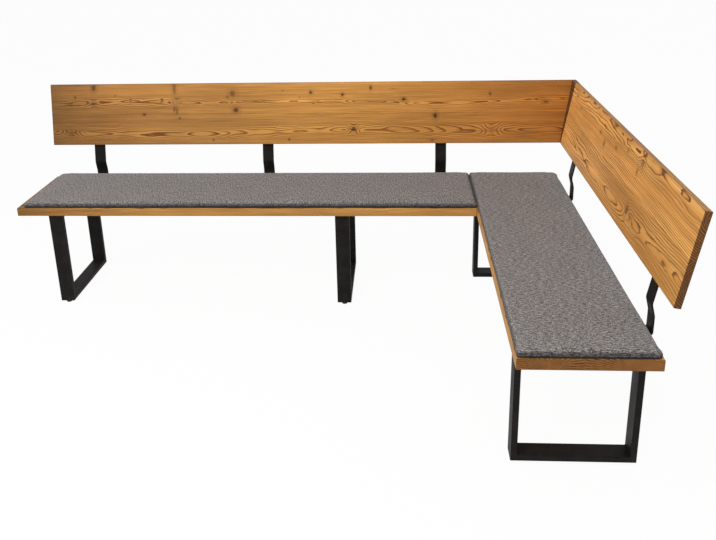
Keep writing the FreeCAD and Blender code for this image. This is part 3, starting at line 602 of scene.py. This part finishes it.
# %% [markdown]
# The frames, supports and hidden plates are steel with a fine black powder coat. Such a coat is nearly
# black and not quite matt, and its skin is slightly uneven, like orange peel. The base is a very dark
# warm grey, and the skin is a bump whose waves are about a millimetre wide.

# %% Powder-coated steel
POWDER_BLACK = (0.0086, 0.0072, 0.0068)
POWDER_WORN = (0.0160, 0.0138, 0.0130)
PEEL = ((900.0, 900.0, 900.0), 2.0)
PEEL_HEIGHT = 0.00006
WEAR = ((22.0, 22.0, 22.0), 3.0)
WEAR_SPAN = (0.35, 0.75)
COAT_ROUGHNESS = (0.2, 0.8, 0.48, 0.60)


def powder_coat():
    material, tree, shader = new_material("black_powder_coat")
    place = object_place(tree)
    peel = noise(tree, place, *PEEL)
    wear = noise(tree, place, *WEAR)
    fill(tree, shader, {
        "Base Color": mix_colour(tree, smooth_range(tree, wear, *WEAR_SPAN), POWDER_BLACK, POWDER_WORN),
        "Roughness": smooth_range(tree, wear, *COAT_ROUGHNESS),
        "Normal": bump(tree, peel, PEEL_HEIGHT, strength=0.5),
        "Specular IOR Level": 0.09,
    })
    return material


black_steel = powder_coat()
STEEL_WORDS = ("_leg", "_top_bar", "_skid", "_back_support_", "joining_plate_", "bracket")
steel_nodes = [name for name in NODES if "screws" not in name and any(word in name for word in STEEL_WORDS)]
for name in steel_nodes:
    paint(NODES[name], black_steel)
print("steel nodes:", len(steel_nodes))

# %% [markdown]
# Screws, stems and nuts are zinc plated, and the glides' feet are moulded in black plastic. Zinc has a
# soft brushed shine with faint bluish and yellowish clouds. The plastic has a fine spark-eroded grain.

# %% Zinc and plastic
ZINC_BLUE = (0.52, 0.54, 0.57)
ZINC_WARM = (0.60, 0.58, 0.53)
ZINC_CLOUD = ((160.0, 160.0, 160.0), 3.0)
ZINC_ROUGHNESS = (0.2, 0.8, 0.28, 0.42)
PLASTIC_BLACK = (0.016, 0.016, 0.017)
PLASTIC_GREY = (0.026, 0.026, 0.026)
PLASTIC_CLOUD = ((60.0, 60.0, 60.0), 2.0)
PLASTIC_GRAIN = ((2200.0, 2200.0, 2200.0), 2.0)
PLASTIC_GRAIN_HEIGHT = 0.00003


def zinc_plate():
    material, tree, shader = new_material("zinc_plate")
    cloud = noise(tree, object_place(tree), *ZINC_CLOUD)
    fill(tree, shader, {
        "Base Color": mix_colour(tree, cloud, ZINC_BLUE, ZINC_WARM),
        "Roughness": smooth_range(tree, cloud, *ZINC_ROUGHNESS),
        "Metallic": 1.0,
    })
    return material


def moulded_plastic():
    material, tree, shader = new_material("moulded_black_plastic")
    place = object_place(tree)
    grain = noise(tree, place, *PLASTIC_GRAIN)
    cloud = noise(tree, place, *PLASTIC_CLOUD)
    fill(tree, shader, {
        "Base Color": mix_colour(tree, cloud, PLASTIC_BLACK, PLASTIC_GREY),
        "Normal": bump(tree, grain, PLASTIC_GRAIN_HEIGHT, strength=0.4),
        "Roughness": 0.5,
    })
    return material


zinc = zinc_plate()
black_plastic = moulded_plastic()
for name, node in NODES.items():
    if name.endswith("_stem") or "screws" in name or name == "glide_nuts":
        paint(node, zinc)
    if name.endswith("_glide_foot"):
        paint(node, black_plastic)
print("small parts painted")

# %% [markdown]
# The small parts are modelled as by hand: a primitive, a few steps in edit mode, and modifiers that are
# applied. Each kind is made once at the origin, where it is easy to think about, and then copied to its
# places. A copy has its own mesh, and the mesh is moved instead of the object, so every finished piece
# sits at the origin.

# %% Modelling helpers
# heights closer than this are the same, points closer than this are merged, and how level a flat face is
SAME = 1e-5
MERGED = 1e-6
LEVEL = 0.99
THREAD_STEPS = 16


def deselect_all():
    if bpy.context.object and bpy.context.object.mode != "OBJECT":
        bpy.ops.object.mode_set(mode="OBJECT")
    bpy.ops.object.select_all(action="DESELECT")


def only(piece):
    """Makes one object the selected and active one."""
    deselect_all()
    piece.select_set(True)
    bpy.context.view_layer.objects.active = piece


def apply_place(piece):
    only(piece)
    bpy.ops.object.transform_apply(location=True, rotation=True, scale=True)


def start_edit(piece, kind):
    """Goes into edit mode with nothing selected, and gives the mesh that is edited there."""
    bpy.ops.object.mode_set(mode="EDIT")
    bpy.ops.mesh.select_mode(type=kind)
    bpy.ops.mesh.select_all(action="DESELECT")
    return bmesh.from_edit_mesh(piece.data)


def select_edges(piece, wanted):
    """Selects the edges for which wanted(first end, second end) holds."""
    cage = start_edit(piece, "EDGE")
    for edge in cage.edges:
        first, second = (vertex.co for vertex in edge.verts)
        edge.select_set(wanted(first, second))
    bmesh.update_edit_mesh(piece.data)


def select_faces(piece, wanted):
    """Selects the faces for which wanted(middle, normal) holds."""
    cage = start_edit(piece, "FACE")
    for face in cage.faces:
        face.select_set(wanted(face.calc_center_median(), face.normal))
    bmesh.update_edit_mesh(piece.data)


def extrude(move, scale=1.0):
    """Pulls the selected faces up or down by move, and narrows them by scale."""
    bpy.ops.mesh.extrude_region_move(TRANSFORM_OT_translate={"value": (0.0, 0.0, move)})
    if scale != 1.0:
        bpy.ops.transform.resize(value=(scale, scale, 1.0))


def upright_cylinder(radius, depth, low=0.0, sides=32):
    deselect_all()
    middle = (0, 0, low + depth / 2)
    bpy.ops.mesh.primitive_cylinder_add(vertices=sides, radius=radius, depth=depth, location=middle)
    piece = bpy.context.object
    apply_place(piece)
    return piece


def smooth_shade(piece, angle=35.0):
    only(piece)
    bpy.ops.object.shade_smooth_by_angle(angle=math.radians(angle))


def copy_to(master, name, place):
    """A copy with its own mesh, which is moved to its place."""
    piece = bpy.data.objects.new(name, master.data.copy())
    piece.data.transform(place)
    bpy.context.scene.collection.objects.link(piece)
    return piece


def join(pieces, name):
    """Joins pieces into the first of them."""
    deselect_all()
    for piece in pieces:
        piece.select_set(True)
    bpy.context.view_layer.objects.active = pieces[0]
    if len(pieces) > 1:
        bpy.ops.object.join()
    pieces[0].name = name
    return pieces[0]


def thread(radius, pitch, start, turns, size):
    """A ridge that winds up the Z axis: a small triangle, carried round by a Screw modifier."""
    deselect_all()
    bpy.ops.mesh.primitive_circle_add(
        vertices=3, radius=size, location=(radius, 0, start), rotation=(math.pi / 2, math.pi / 2, 0))
    ridge = bpy.context.object
    apply_place(ridge)
    winding = ridge.modifiers.new("winding", "SCREW")
    winding.screw_offset = pitch
    winding.iterations = turns
    winding.steps = winding.render_steps = THREAD_STEPS
    bpy.ops.object.modifier_apply(modifier=winding.name)
    bpy.ops.object.mode_set(mode="EDIT")
    bpy.ops.mesh.select_all(action="SELECT")
    bpy.ops.mesh.remove_doubles(threshold=MERGED)
    bpy.ops.mesh.fill_holes(sides=3)
    bpy.ops.mesh.normals_make_consistent(inside=False)
    bpy.ops.object.mode_set(mode="OBJECT")
    return ridge


def finish_copy(piece, node, material, body):
    """Gives a copy its finish, and lets it stand for its node and ride on its body."""
    paint(piece, material)
    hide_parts(node)
    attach(piece, body)


print("modelling helpers ready")

# %% [markdown]
# A glide is a black plastic foot on a threaded steel stem, and eight of them level the bench. The foot
# is a short cylinder whose sole is rounded and dished, with a hole for the stem. The stem is a rod with
# a thread wound round it, which comes into view when the glide is screwed out.

# %% Glides
FOOT_RADIUS = 0.0125
FOOT_HEIGHT = 0.010
SOLE_ROUND = 0.003
TOP_ROUND = 0.0008
DISH_RIM = 0.0015
DISH_DEPTH = 0.0006
DISH_NARROW = 0.95
STEM_RADIUS = 0.004
STEM_LOW = 0.004
STEM_LENGTH = 0.023
STEM_GAP = 0.0001
STEM_CHAMFER = 0.0006
STEM_PITCH = 0.00125
THREAD_START = 0.0012
THREAD_ENDS = 0.003
THREAD_DEPTH = 0.0005
RIDGE_SIZE = THREAD_DEPTH * 0.95


def model_foot():
    foot = upright_cylinder(FOOT_RADIUS, FOOT_HEIGHT, sides=48)
    select_edges(foot, lambda first, second: max(first.z, second.z) < SAME)
    bpy.ops.mesh.bevel(offset=SOLE_ROUND, segments=5, affect="EDGES")
    select_edges(foot, lambda first, second: min(first.z, second.z) > FOOT_HEIGHT - SAME)
    bpy.ops.mesh.bevel(offset=TOP_ROUND, segments=2, affect="EDGES")
    select_faces(foot, lambda middle, normal: normal.z < -LEVEL)
    bpy.ops.mesh.inset(thickness=DISH_RIM)
    extrude(DISH_DEPTH, DISH_NARROW)
    select_faces(foot, lambda middle, normal: normal.z > LEVEL and middle.z > FOOT_HEIGHT - SAME)
    bpy.ops.mesh.inset(thickness=FOOT_RADIUS - TOP_ROUND - STEM_RADIUS - STEM_GAP)
    extrude(STEM_LOW - FOOT_HEIGHT)
    bpy.ops.object.mode_set(mode="OBJECT")
    smooth_shade(foot)
    return foot


def model_stem():
    core = upright_cylinder(STEM_RADIUS - THREAD_DEPTH, STEM_LENGTH, STEM_LOW, sides=24)
    select_edges(core, lambda first, second: abs(first.z - second.z) < SAME)
    bpy.ops.mesh.bevel(offset=STEM_CHAMFER, segments=1, affect="EDGES")
    bpy.ops.object.mode_set(mode="OBJECT")
    turns = int((STEM_LENGTH - THREAD_ENDS) / STEM_PITCH)
    ridge = thread(STEM_RADIUS - THREAD_DEPTH, STEM_PITCH, STEM_LOW + THREAD_START, turns, RIDGE_SIZE)
    stem = join([core, ridge], "stem_master")
    smooth_shade(stem)
    return stem


SLEDS = ("left", "middle", "corner", "end")
foot_master, stem_master = model_foot(), model_stem()
for sled in SLEDS:
    for end in ("front", "back"):
        glide = f"{sled}_sled_{end}_glide"
        low, high = (Vector(corner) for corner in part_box(f"{glide}_foot"))
        place = Matrix.Translation(((low.x + high.x) / 2, (low.y + high.y) / 2, 0.0))
        foot = copy_to(foot_master, f"{glide}_moulded_foot", place)
        finish_copy(foot, f"{glide}_foot", black_plastic, glide)
        stem = copy_to(stem_master, f"{glide}_threaded_stem", place)
        finish_copy(stem, f"{glide}_stem", zinc, glide)
print("glides:", 2 * len(SLEDS), "foot faces:", len(foot_master.data.polygons))
bpy.data.objects.remove(foot_master)
bpy.data.objects.remove(stem_master)

# %% [markdown]
# Pan-head wood screws hold everything: thick ones go up into the planks, and thinner ones into the
# boards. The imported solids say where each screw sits. A group's mesh falls apart into its screws, and
# the points that lie furthest back along the screw's direction are the ring of its head.

# %% Screws
# rounding and recess as shares of the head's size, and the point's height and tip as shares of the shank
HEAD_ROUND = 0.45
RECESS_WIDTH = 0.45
RECESS_OUTSIDE = 0.4
POINT_HEIGHT = 2.5
POINT_NARROW = 0.12
PLAIN_SHANK = 0.004
SCREW_PITCH = 0.0022

# points this close to the lowest one are the head's ring
HEAD_RING = 1e-4

# radius and height of the head, and radius of the shank
HEAD_SIZES = {"seat": (0.0055, 0.0040, 0.0030), "back": (0.0048, 0.0032, 0.0025)}


def model_screw(head_radius, head_height, shank_radius, length):
    """A screw that stands on its head: rounded head with a hexagon recess, shank, point and thread."""
    screw = upright_cylinder(head_radius, head_height)
    select_edges(screw, lambda first, second: max(first.z, second.z) < SAME)
    bpy.ops.mesh.bevel(offset=head_height * HEAD_ROUND, segments=4, affect="EDGES")
    select_faces(screw, lambda middle, normal: normal.z > LEVEL)
    bpy.ops.mesh.inset(thickness=head_radius - shank_radius + THREAD_DEPTH)
    point_height = POINT_HEIGHT * shank_radius
    extrude(length - head_height - point_height)
    extrude(point_height, POINT_NARROW)
    bpy.ops.object.mode_set(mode="OBJECT")
    tool = upright_cylinder(head_radius * RECESS_WIDTH, head_height, -head_height * RECESS_OUTSIDE, sides=6)
    recess = screw.modifiers.new("recess", "BOOLEAN")
    recess.operation = "DIFFERENCE"
    recess.object = tool
    only(screw)
    bpy.ops.object.modifier_apply(modifier=recess.name)
    bpy.data.objects.remove(tool)
    start = head_height + PLAIN_SHANK
    turns = int((length - point_height - start) / SCREW_PITCH)
    ridge = thread(shank_radius - THREAD_DEPTH, SCREW_PITCH, start, turns, RIDGE_SIZE)
    screw = join([screw, ridge], "screw_master")
    smooth_shade(screw)
    return screw


def loose_solids(node):
    """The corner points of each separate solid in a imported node, always in the same order."""
    cage = bmesh.new()
    cage.from_mesh(node.data)
    bmesh.ops.remove_doubles(cage, verts=cage.verts, dist=MERGED)
    seen, solids = set(), []
    for first in cage.verts:
        if first in seen:
            continue
        seen.add(first)
        front, found = [first], []
        while front:
            vertex = front.pop()
            found.append(vertex.co.copy())
            for edge in vertex.link_edges:
                other = edge.other_vert(vertex)
                if other not in seen:
                    seen.add(other)
                    front.append(other)
        solids.append(found)
    cage.free()
    return solids


def screw_place(points, directions):
    """The head's middle, the direction and the length of the screw that these points belong to."""
    def reach(direction):
        depths = [point.dot(direction) for point in points]
        return max(depths) - min(depths)

    direction = max(directions, key=reach)
    first = min(point.dot(direction) for point in points)
    ring = [point for point in points if point.dot(direction) < first + HEAD_RING]
    return sum(ring, Vector()) / len(ring), direction, reach(direction)


UPWARDS = (Vector((0.0, 0.0, 1.0)),)
INTO_BOARDS = (
    Vector((0.0, -math.cos(BACK_LEAN), math.sin(BACK_LEAN))),
    Vector((-math.cos(BACK_LEAN), 0.0, math.sin(BACK_LEAN))),
)
SCREW_GROUPS = (
    ("sled_screws", "seat", UPWARDS),
    ("joining_plate_screws", "seat", UPWARDS),
    ("support_foot_screws", "seat", UPWARDS),
    ("support_board_screws", "back", INTO_BOARDS),
    ("corner_bracket_screws", "back", INTO_BOARDS),
)
for node, size, directions in SCREW_GROUPS:
    places = [screw_place(points, directions) for points in loose_solids(NODES[node])]
    master = model_screw(*HEAD_SIZES[size], places[0][2])
    screws = []
    for start, direction, _ in places:
        turn = direction.to_track_quat("Z", "Y").to_matrix().to_4x4()
        screws.append(copy_to(master, node, Matrix.Translation(start) @ turn))
    bpy.data.objects.remove(master)
    piece = join(screws, f"{node}_modelled")
    finish_copy(piece, node, zinc, "bench")
    print(node, len(places), "screws, length", round(places[0][2] * 1000, 1), "mm")

# %% [markdown]
# Each steel frame is cut from tube with mitred ends and welded. The outside seams are ground flat, and
# a thin bead stays in the inner corners, under the powder coat. A bead is a cylinder whose rings are
# narrowed by turns, which gives the ripples of a weld.

# %% Weld beads
TUBE_THICKNESS = 0.020
TUBE_WIDTH = 0.060
BEAD_RADIUS = 0.0020
BEAD_LENGTH = TUBE_WIDTH - 0.006
BEAD_RINGS = 30
BEAD_NARROW = 0.80
BEAD_OUT = BEAD_RADIUS * 0.3


def model_bead():
    """A rippled bead that lies along Z through the origin."""
    bead = upright_cylinder(BEAD_RADIUS, BEAD_LENGTH, -BEAD_LENGTH / 2, sides=12)
    select_edges(bead, lambda first, second: abs(first.z - second.z) > SAME)
    bpy.ops.mesh.subdivide(number_cuts=BEAD_RINGS - 1)
    step = BEAD_LENGTH / BEAD_RINGS
    select_edges(bead, lambda first, second: abs(first.z - second.z) < SAME
                 and round((first.z + BEAD_LENGTH / 2) / step) % 2 == 0)
    bpy.ops.transform.resize(value=(BEAD_NARROW, BEAD_NARROW, 1.0))
    bpy.ops.object.mode_set(mode="OBJECT")
    smooth_shade(bead, angle=60.0)
    return bead


bead_master = model_bead()
for sled in SLEDS:
    low, high = (Vector(corner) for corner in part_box(f"{sled}_sled_skid"))
    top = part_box(f"{sled}_sled_top_bar")[0][2]
    runs_back = high.y - low.y > high.x - low.x
    depth_axis = 1 if runs_back else 0
    turn = Matrix.Rotation(math.pi / 2, 4, "Y" if runs_back else "X")
    beads = []
    for depth, inwards in ((low[depth_axis] + TUBE_THICKNESS, 1), (high[depth_axis] - TUBE_THICKNESS, -1)):
        for height, upwards in ((high.z, 1), (top, -1)):
            middle = (low + high) / 2
            middle[depth_axis] = depth + inwards * BEAD_OUT
            middle.z = height + upwards * BEAD_OUT
            beads.append(copy_to(bead_master, "bead", Matrix.Translation(middle) @ turn))
    piece = join(beads, f"{sled}_sled_weld_beads")
    paint(piece, black_steel)
    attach(piece, "bench")
bpy.data.objects.remove(bead_master)
print("weld beads:", 4 * len(SLEDS))

# %% [markdown]
# The cushions have a woven cover in a warm grey melange: light and dark grey threads cross every two or
# three millimetres, and longer, thicker slubs run with the weft, across each cushion. Noise that is
# stretched along the weft gives the slubs, finer noise stretched both ways gives the threads, and a
# small checker of raised points gives the weave. The pattern is read from a UV map in metres, so that
# it has the same size on the top and round the edges. The sides are given a painted shade, for light
# from above that the lamps here don't give, and the lowest millimetres a near-black painted shadow line.

# %% Cushion cover
COVER_DARK = (0.060, 0.055, 0.054)
COVER_MIDDLE = (0.185, 0.167, 0.160)
COVER_LIGHT = (0.400, 0.366, 0.348)

# fields on the cloth, whose first axis is the weft's, and what each adds to the tone
WEFT = ((130.0, 500.0, 1.0), 2.0, 0.6)
WARP = ((500.0, 130.0, 1.0), 2.0, 0.6)
SPECK = ((250.0, 250.0, 1.0), 1.0)
LONG_SLUBS = ((55.0, 320.0, 1.0), 2.0)
SHORT_SLUBS = ((95.0, 430.0, 1.0), 2.0)
BROAD = ((9.0, 9.0, 1.0), 3.0)
THREAD_SHARE = 0.1733
SLUB_SHARE = 0.24
BROAD_SHARE = 0.02
TONE_SPAN = (0.435, 0.565)

# the raised threads: their pitch, their waves in radians for each metre of cloth, shade and relief
THREAD_PITCH = 0.0026
THREAD_WAVE = math.pi / THREAD_PITCH * 2
WEAVE_SHADE = (0.0, 1.0, 0.82, 1.12)
THREAD_RELIEF = 0.33
WEAVE_HEIGHT = 0.0006

# painted shade on the sides and a painted shadow line at the underside, as heights above the seat
SEAT_TOP = 0.458
PAINTED_SHADE_BAND = (0.012, 0.0225)
PAINTED_SHADE_ON_SIDES = 0.32
SHADOW_LINE_HEIGHT = 0.0072
SHADOW_LINE_FADE = 0.001
SHADOW_LINE_DARK = 0.2


def cover_tone(tree, cloth):
    """The melange's colour, and the threads that its relief needs."""
    weft = noise(tree, cloth, *WEFT)
    warp = noise(tree, cloth, *WARP)
    speck = noise(tree, cloth, *SPECK)
    thread = maths(tree, "ADD", maths(tree, "ADD", warp, weft), speck)
    slub = maths(tree, "ADD", noise(tree, cloth, *LONG_SLUBS), noise(tree, cloth, *SHORT_SLUBS))
    tone = maths(tree, "MULTIPLY_ADD", slub, SLUB_SHARE, maths(tree, "MULTIPLY", thread, THREAD_SHARE))
    tone = maths(tree, "ADD", tone, sway(tree, cloth, BROAD, BROAD_SHARE))
    stops = ((0.0, COVER_DARK), (0.5, COVER_MIDDLE), (1.0, COVER_LIGHT))
    return ramp(tree, smooth_range(tree, tone, *TONE_SPAN), stops).outputs["Color"], thread


def painted_shade_of_sides(tree):
    """The painted shade: a factor that darkens the sides and paints a near-black shadow line at the
    underside.
    """
    above = split(tree, object_place(tree))["Z"]
    low, high = (SEAT_TOP + height for height in PAINTED_SHADE_BAND)
    side = smooth_range(tree, above, low, high, PAINTED_SHADE_ON_SIDES, 1.0)
    shadow_line_top = SEAT_TOP + SHADOW_LINE_HEIGHT
    painted_shadow_line = smooth_range(tree, above, shadow_line_top, shadow_line_top + SHADOW_LINE_FADE, SHADOW_LINE_DARK, 1.0)
    return maths(tree, "MULTIPLY", side, painted_shadow_line)


def woven_cover():
    material, tree, shader = new_material("grey_melange_cover")
    cloth = add_node(tree, "UVMap", uv_map="weave").outputs[0]
    colour, thread = cover_tone(tree, cloth)
    along_weft, along_warp, _ = split(tree, cloth)
    waves = [
        maths(tree, "SINE", maths(tree, "MULTIPLY", distance, THREAD_WAVE))
        for distance in (along_weft, along_warp)
    ]
    weave = maths(tree, "MULTIPLY_ADD", maths(tree, "MULTIPLY", *waves), 0.5, 0.5)
    colour = shaded(tree, colour, smooth_range(tree, weave, *WEAVE_SHADE))
    # painted shade on the sides, and a painted shadow line along the seat
    colour = shaded(tree, colour, painted_shade_of_sides(tree))
    relief = maths(tree, "MULTIPLY_ADD", thread, THREAD_RELIEF, weave)
    fill(tree, shader, {
        "Base Color": colour,
        "Normal": bump(tree, relief, WEAVE_HEIGHT, strength=0.55),
        "Roughness": 0.92,
        "Specular IOR Level": 0.2,
        "Sheen Weight": 0.15,
        "Sheen Roughness": 0.5,
    })
    return material


cover = woven_cover()
print("cover ready")

# %% [markdown]
# A cushion starts as a box a little smaller than its solid. Its upright edges are rounded by different
# amounts, as sewn corners are, and its rims roll over at the top and under at the seat. It is remeshed
# into even squares, and Blender's cloth then blows it up softly while its underside is held flat on the
# seat. How far a point may move is capped. The cloth is applied, a slow noise makes the foam a little
# uneven, one subdivision smooths the result, and the pad is stretched to fill its space again.

# %% Cushion helpers
PAD_HEIGHT = 0.0215
PAD_SHRINK = 0.0004
PAD_LIFT = 0.0002
PAD_TOP_ROLL = 0.0085
PAD_LOW_ROLL = 0.0045
PAD_VOXEL = 0.006
PAD_HELD = 0.003
PAD_PRESSURE = 2.5
PAD_STIFFNESS = 25
PAD_FRAMES = 14
PAD_CAP = 0.006
PAD_SMOOTHING = 0.5
PAD_SMOOTH_ROUNDS = 5
PAD_WAVE = 0.0016
PAD_WAVE_SCALE = 0.16
PAD_WAVE_MIDDLE = 0.8
PAD_PROUD_FRONT = 0.003
PAD_PROUD_BACK = 0.006
PAD_CLOSE_GAP = 0.0009
LONG_PAD_START = 0.014


def pad_block(name, low, high, corners):
    """A box from low to high with its four upright edges and both rims rounded."""
    deselect_all()
    bpy.ops.mesh.primitive_cube_add(size=1.0, location=(low + high) / 2, scale=high - low)
    pad = bpy.context.object
    pad.name = name
    apply_place(pad)
    for (at_right, at_back), radius in corners.items():
        x = high.x if at_right else low.x
        y = high.y if at_back else low.y
        select_edges(pad, lambda first, second: all(
            abs(end.x - x) < SAME and abs(end.y - y) < SAME for end in (first, second)))
        bpy.ops.mesh.bevel(offset=radius, segments=6, affect="EDGES")
    select_edges(pad, lambda first, second: min(first.z, second.z) > high.z - SAME)
    bpy.ops.mesh.bevel(offset=PAD_TOP_ROLL, segments=5, affect="EDGES")
    select_edges(pad, lambda first, second: max(first.z, second.z) < low.z + SAME)
    bpy.ops.mesh.bevel(offset=PAD_LOW_ROLL, segments=4, affect="EDGES")
    bpy.ops.object.mode_set(mode="OBJECT")
    return pad


def blow_up(pad, floor_height):
    """Remeshes the pad, inflates it as cloth with its underside held, and applies the result."""
    only(pad)
    pad.data.remesh_voxel_size = PAD_VOXEL
    bpy.ops.object.voxel_remesh()
    held = pad.vertex_groups.new(name="held")
    points = pad.data.vertices
    held.add([point.index for point in points if point.co.z < floor_height + PAD_HELD], 1.0, "REPLACE")
    rest = [point.co.copy() for point in points]
    cloth = pad.modifiers.new("cloth", "CLOTH")
    cloth.settings.use_pressure = True
    cloth.settings.uniform_pressure_force = PAD_PRESSURE
    cloth.settings.vertex_group_mass = "held"
    cloth.settings.tension_stiffness = PAD_STIFFNESS
    cloth.settings.compression_stiffness = PAD_STIFFNESS
    cloth.settings.effector_weights.gravity = 0.0
    cloth.point_cache.frame_end = PAD_FRAMES
    scene = bpy.context.scene
    for number in range(1, PAD_FRAMES + 1):
        scene.frame_set(number)
    bpy.ops.object.modifier_apply(modifier=cloth.name)
    scene.frame_set(1)
    moves = []
    for vertex, start in zip(pad.data.vertices, rest):
        move = vertex.co - start
        moves.append(move.length)
        if move.length > PAD_CAP:
            vertex.co = start + move * (PAD_CAP / move.length)
    return max(moves)


def fill_space(pad, low, high):
    """Stretches the pad until its sides reach the given space, and holds its top and sole inside it."""
    points = [vertex.co for vertex in pad.data.vertices]
    for axis in (0, 1):
        start, end = min(point[axis] for point in points), max(point[axis] for point in points)
        stretch = (high[axis] - low[axis]) / (end - start)
        for point in points:
            point[axis] = low[axis] + (point[axis] - start) * stretch
    for point in points:
        point.z = min(max(point.z, low.z), high.z)


def finish_pad(pad):
    """Smooths the cloth, makes the foam a little uneven and doubles the mesh."""
    only(pad)
    smooth = pad.modifiers.new("smooth", "SMOOTH")
    smooth.factor = PAD_SMOOTHING
    smooth.iterations = PAD_SMOOTH_ROUNDS
    bpy.ops.object.modifier_apply(modifier=smooth.name)
    swell = bpy.data.textures.new(pad.name + "_swell", "CLOUDS")
    swell.noise_scale = PAD_WAVE_SCALE
    uneven = pad.modifiers.new("uneven", "DISPLACE")
    uneven.texture = swell
    uneven.direction = "Z"
    uneven.strength = PAD_WAVE
    uneven.mid_level = PAD_WAVE_MIDDLE
    bpy.ops.object.modifier_apply(modifier=uneven.name)
    rounder = pad.modifiers.new("subdivision", "SUBSURF")
    rounder.levels = rounder.render_levels = 1
    bpy.ops.object.modifier_apply(modifier=rounder.name)
    bpy.ops.object.shade_smooth()


def weave_map(pad, weft_axis):
    """A UV map in metres, laid on by the side that each face looks to, whose first axis is the weft's."""
    while pad.data.uv_layers:
        pad.data.uv_layers.remove(pad.data.uv_layers[0])
    layer = pad.data.uv_layers.new(name="weave")
    mesh = pad.data
    for face in mesh.polygons:
        side = max(range(3), key=lambda axis: abs(face.normal[axis]))
        others = [axis for axis in range(3) if axis != side]
        first, second = sorted(others, key=lambda axis: axis != weft_axis)
        for corner in face.loop_indices:
            point = mesh.vertices[mesh.loops[corner].vertex_index].co
            layer.data[corner].uv = (point[first], point[second])


def make_cushion(name, node, body, corners, grow_left, grow_right, weft_axis):
    """A cushion in the space of its solid, which stands a little proud of it at the front."""
    low, high = (Vector(corner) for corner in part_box(node))
    low -= Vector((grow_left, PAD_PROUD_FRONT, 0.0))
    high.x += grow_right
    inset = Vector((PAD_SHRINK, PAD_SHRINK, 0.0))
    start_low = low + inset + Vector((0, 0, PAD_LIFT))
    start_high = Vector((high.x, high.y, low.z + PAD_HEIGHT)) - inset
    pad = pad_block(name, start_low, start_high, corners)
    most = 0.0
    most = blow_up(pad, low.z)
    finish_pad(pad)
    fill_space(pad, low, high)
    weave_map(pad, weft_axis)
    paint(pad, cover)
    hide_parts(node)
    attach(pad, body)
    print(name, "triangles", 2 * len(pad.data.polygons), "most moved", round(most, 4))


print("cushion helpers ready")

# %% [markdown]
# The two cushions. The long one begins a little further in than its solid, as in the photograph, and
# the two lean against each other at the corner. Each corner is given its own rounding, and the weft
# runs across each cushion.

# %% Cushions
FRONT_LEFT, FRONT_RIGHT, BACK_LEFT, BACK_RIGHT = (False, False), (True, False), (False, True), (True, True)
LONG_CORNERS = {FRONT_LEFT: 0.012, FRONT_RIGHT: 0.012, BACK_LEFT: 0.026, BACK_RIGHT: 0.020}
SHORT_CORNERS = {FRONT_LEFT: 0.011, FRONT_RIGHT: 0.014, BACK_LEFT: 0.012, BACK_RIGHT: 0.030}
make_cushion(
    "long_cushion_pad", "long_seat_cushion", "long_cushion", LONG_CORNERS,
    grow_left=-LONG_PAD_START, grow_right=PAD_CLOSE_GAP, weft_axis=1)
make_cushion(
    "short_cushion_pad", "short_seat_cushion", "short_cushion", SHORT_CORNERS,
    grow_left=PAD_CLOSE_GAP, grow_right=PAD_PROUD_BACK, weft_axis=0)

# %% [markdown]
# The studio: a white floor under a white sky, a large soft lamp high in front of the bench, a smaller
# one from the left, and an even glow from the world. The floor looks white to the camera and still
# takes a faint shadow.

# %% Studio
FLOOR_WHITE = 0.90
FLOOR_GLOW = 0.95
FLOOR_SIZE = 60.0
WORLD_LIGHT = 0.50

# place, target, width and depth, and power in watts
KEY_LAMP = ((-0.6, -2.6, 3.4), (0.2, 0.1, 0.5), (3.0, 2.0), 95.0)
FILL_LAMP = ((-3.2, -0.8, 2.2), (0.3, 0.0, 0.5), (2.0, 2.0), 30.0)


def white_ray(tree):
    """1 for rays that come straight from the camera, from a reflection or through glass."""
    path = add_node(tree, "LightPath").outputs
    seen = maths(tree, "MAXIMUM", path["Is Camera Ray"], path["Is Glossy Ray"])
    return maths(tree, "MAXIMUM", seen, path["Is Transmission Ray"])


def floor_material():
    material, tree, shader = new_material("studio_floor")
    white = (FLOOR_WHITE, FLOOR_WHITE, FLOOR_WHITE, 1.0)
    fill(tree, shader, {"Base Color": white, "Roughness": 0.9, "Specular IOR Level": 0.0})
    glow = add_node(tree, "Emission", {"Color": (1.0, 1.0, 1.0, 1.0), "Strength": 1.0}).outputs[0]
    share = maths(tree, "MULTIPLY", white_ray(tree), FLOOR_GLOW)
    mixed = add_node(tree, "MixShader", {0: share, 1: shader.outputs[0], 2: glow}).outputs[0]
    output = next(node for node in tree.nodes if node.type == "OUTPUT_MATERIAL")
    tree.links.new(mixed, output.inputs["Surface"])
    return material


deselect_all()
bpy.ops.mesh.primitive_plane_add(size=FLOOR_SIZE, location=(0.0, 0.0, 0.0))
floor = bpy.context.object
floor.name = "studio_floor"
paint(floor, floor_material())

world = bpy.data.worlds.new("studio")
bpy.context.scene.world = world
world.use_nodes = True
sky = world.node_tree
sky.nodes.clear()
strength = maths(sky, "MULTIPLY_ADD", white_ray(sky), 1.0 - WORLD_LIGHT, WORLD_LIGHT)
glow = add_node(sky, "Background", {"Color": (1.0, 1.0, 1.0, 1.0), "Strength": strength}).outputs[0]
sky.links.new(glow, sky.nodes.new("ShaderNodeOutputWorld").inputs["Surface"])


def soft_lamp(name, place, target, size, power):
    lamp = bpy.data.lights.new(name, "AREA")
    lamp.shape = "RECTANGLE"
    lamp.size, lamp.size_y = size
    lamp.energy = power
    holder = bpy.data.objects.new(name, lamp)
    direction = Vector(target) - Vector(place)
    turn = direction.to_track_quat("-Z", "Y").to_matrix().to_4x4()
    holder.matrix_world = Matrix.Translation(place) @ turn
    bpy.context.scene.collection.objects.link(holder)


soft_lamp("key_lamp", *KEY_LAMP)
soft_lamp("fill_lamp", *FILL_LAMP)
bpy.context.scene.view_settings.view_transform = "Standard"
print("studio ready")
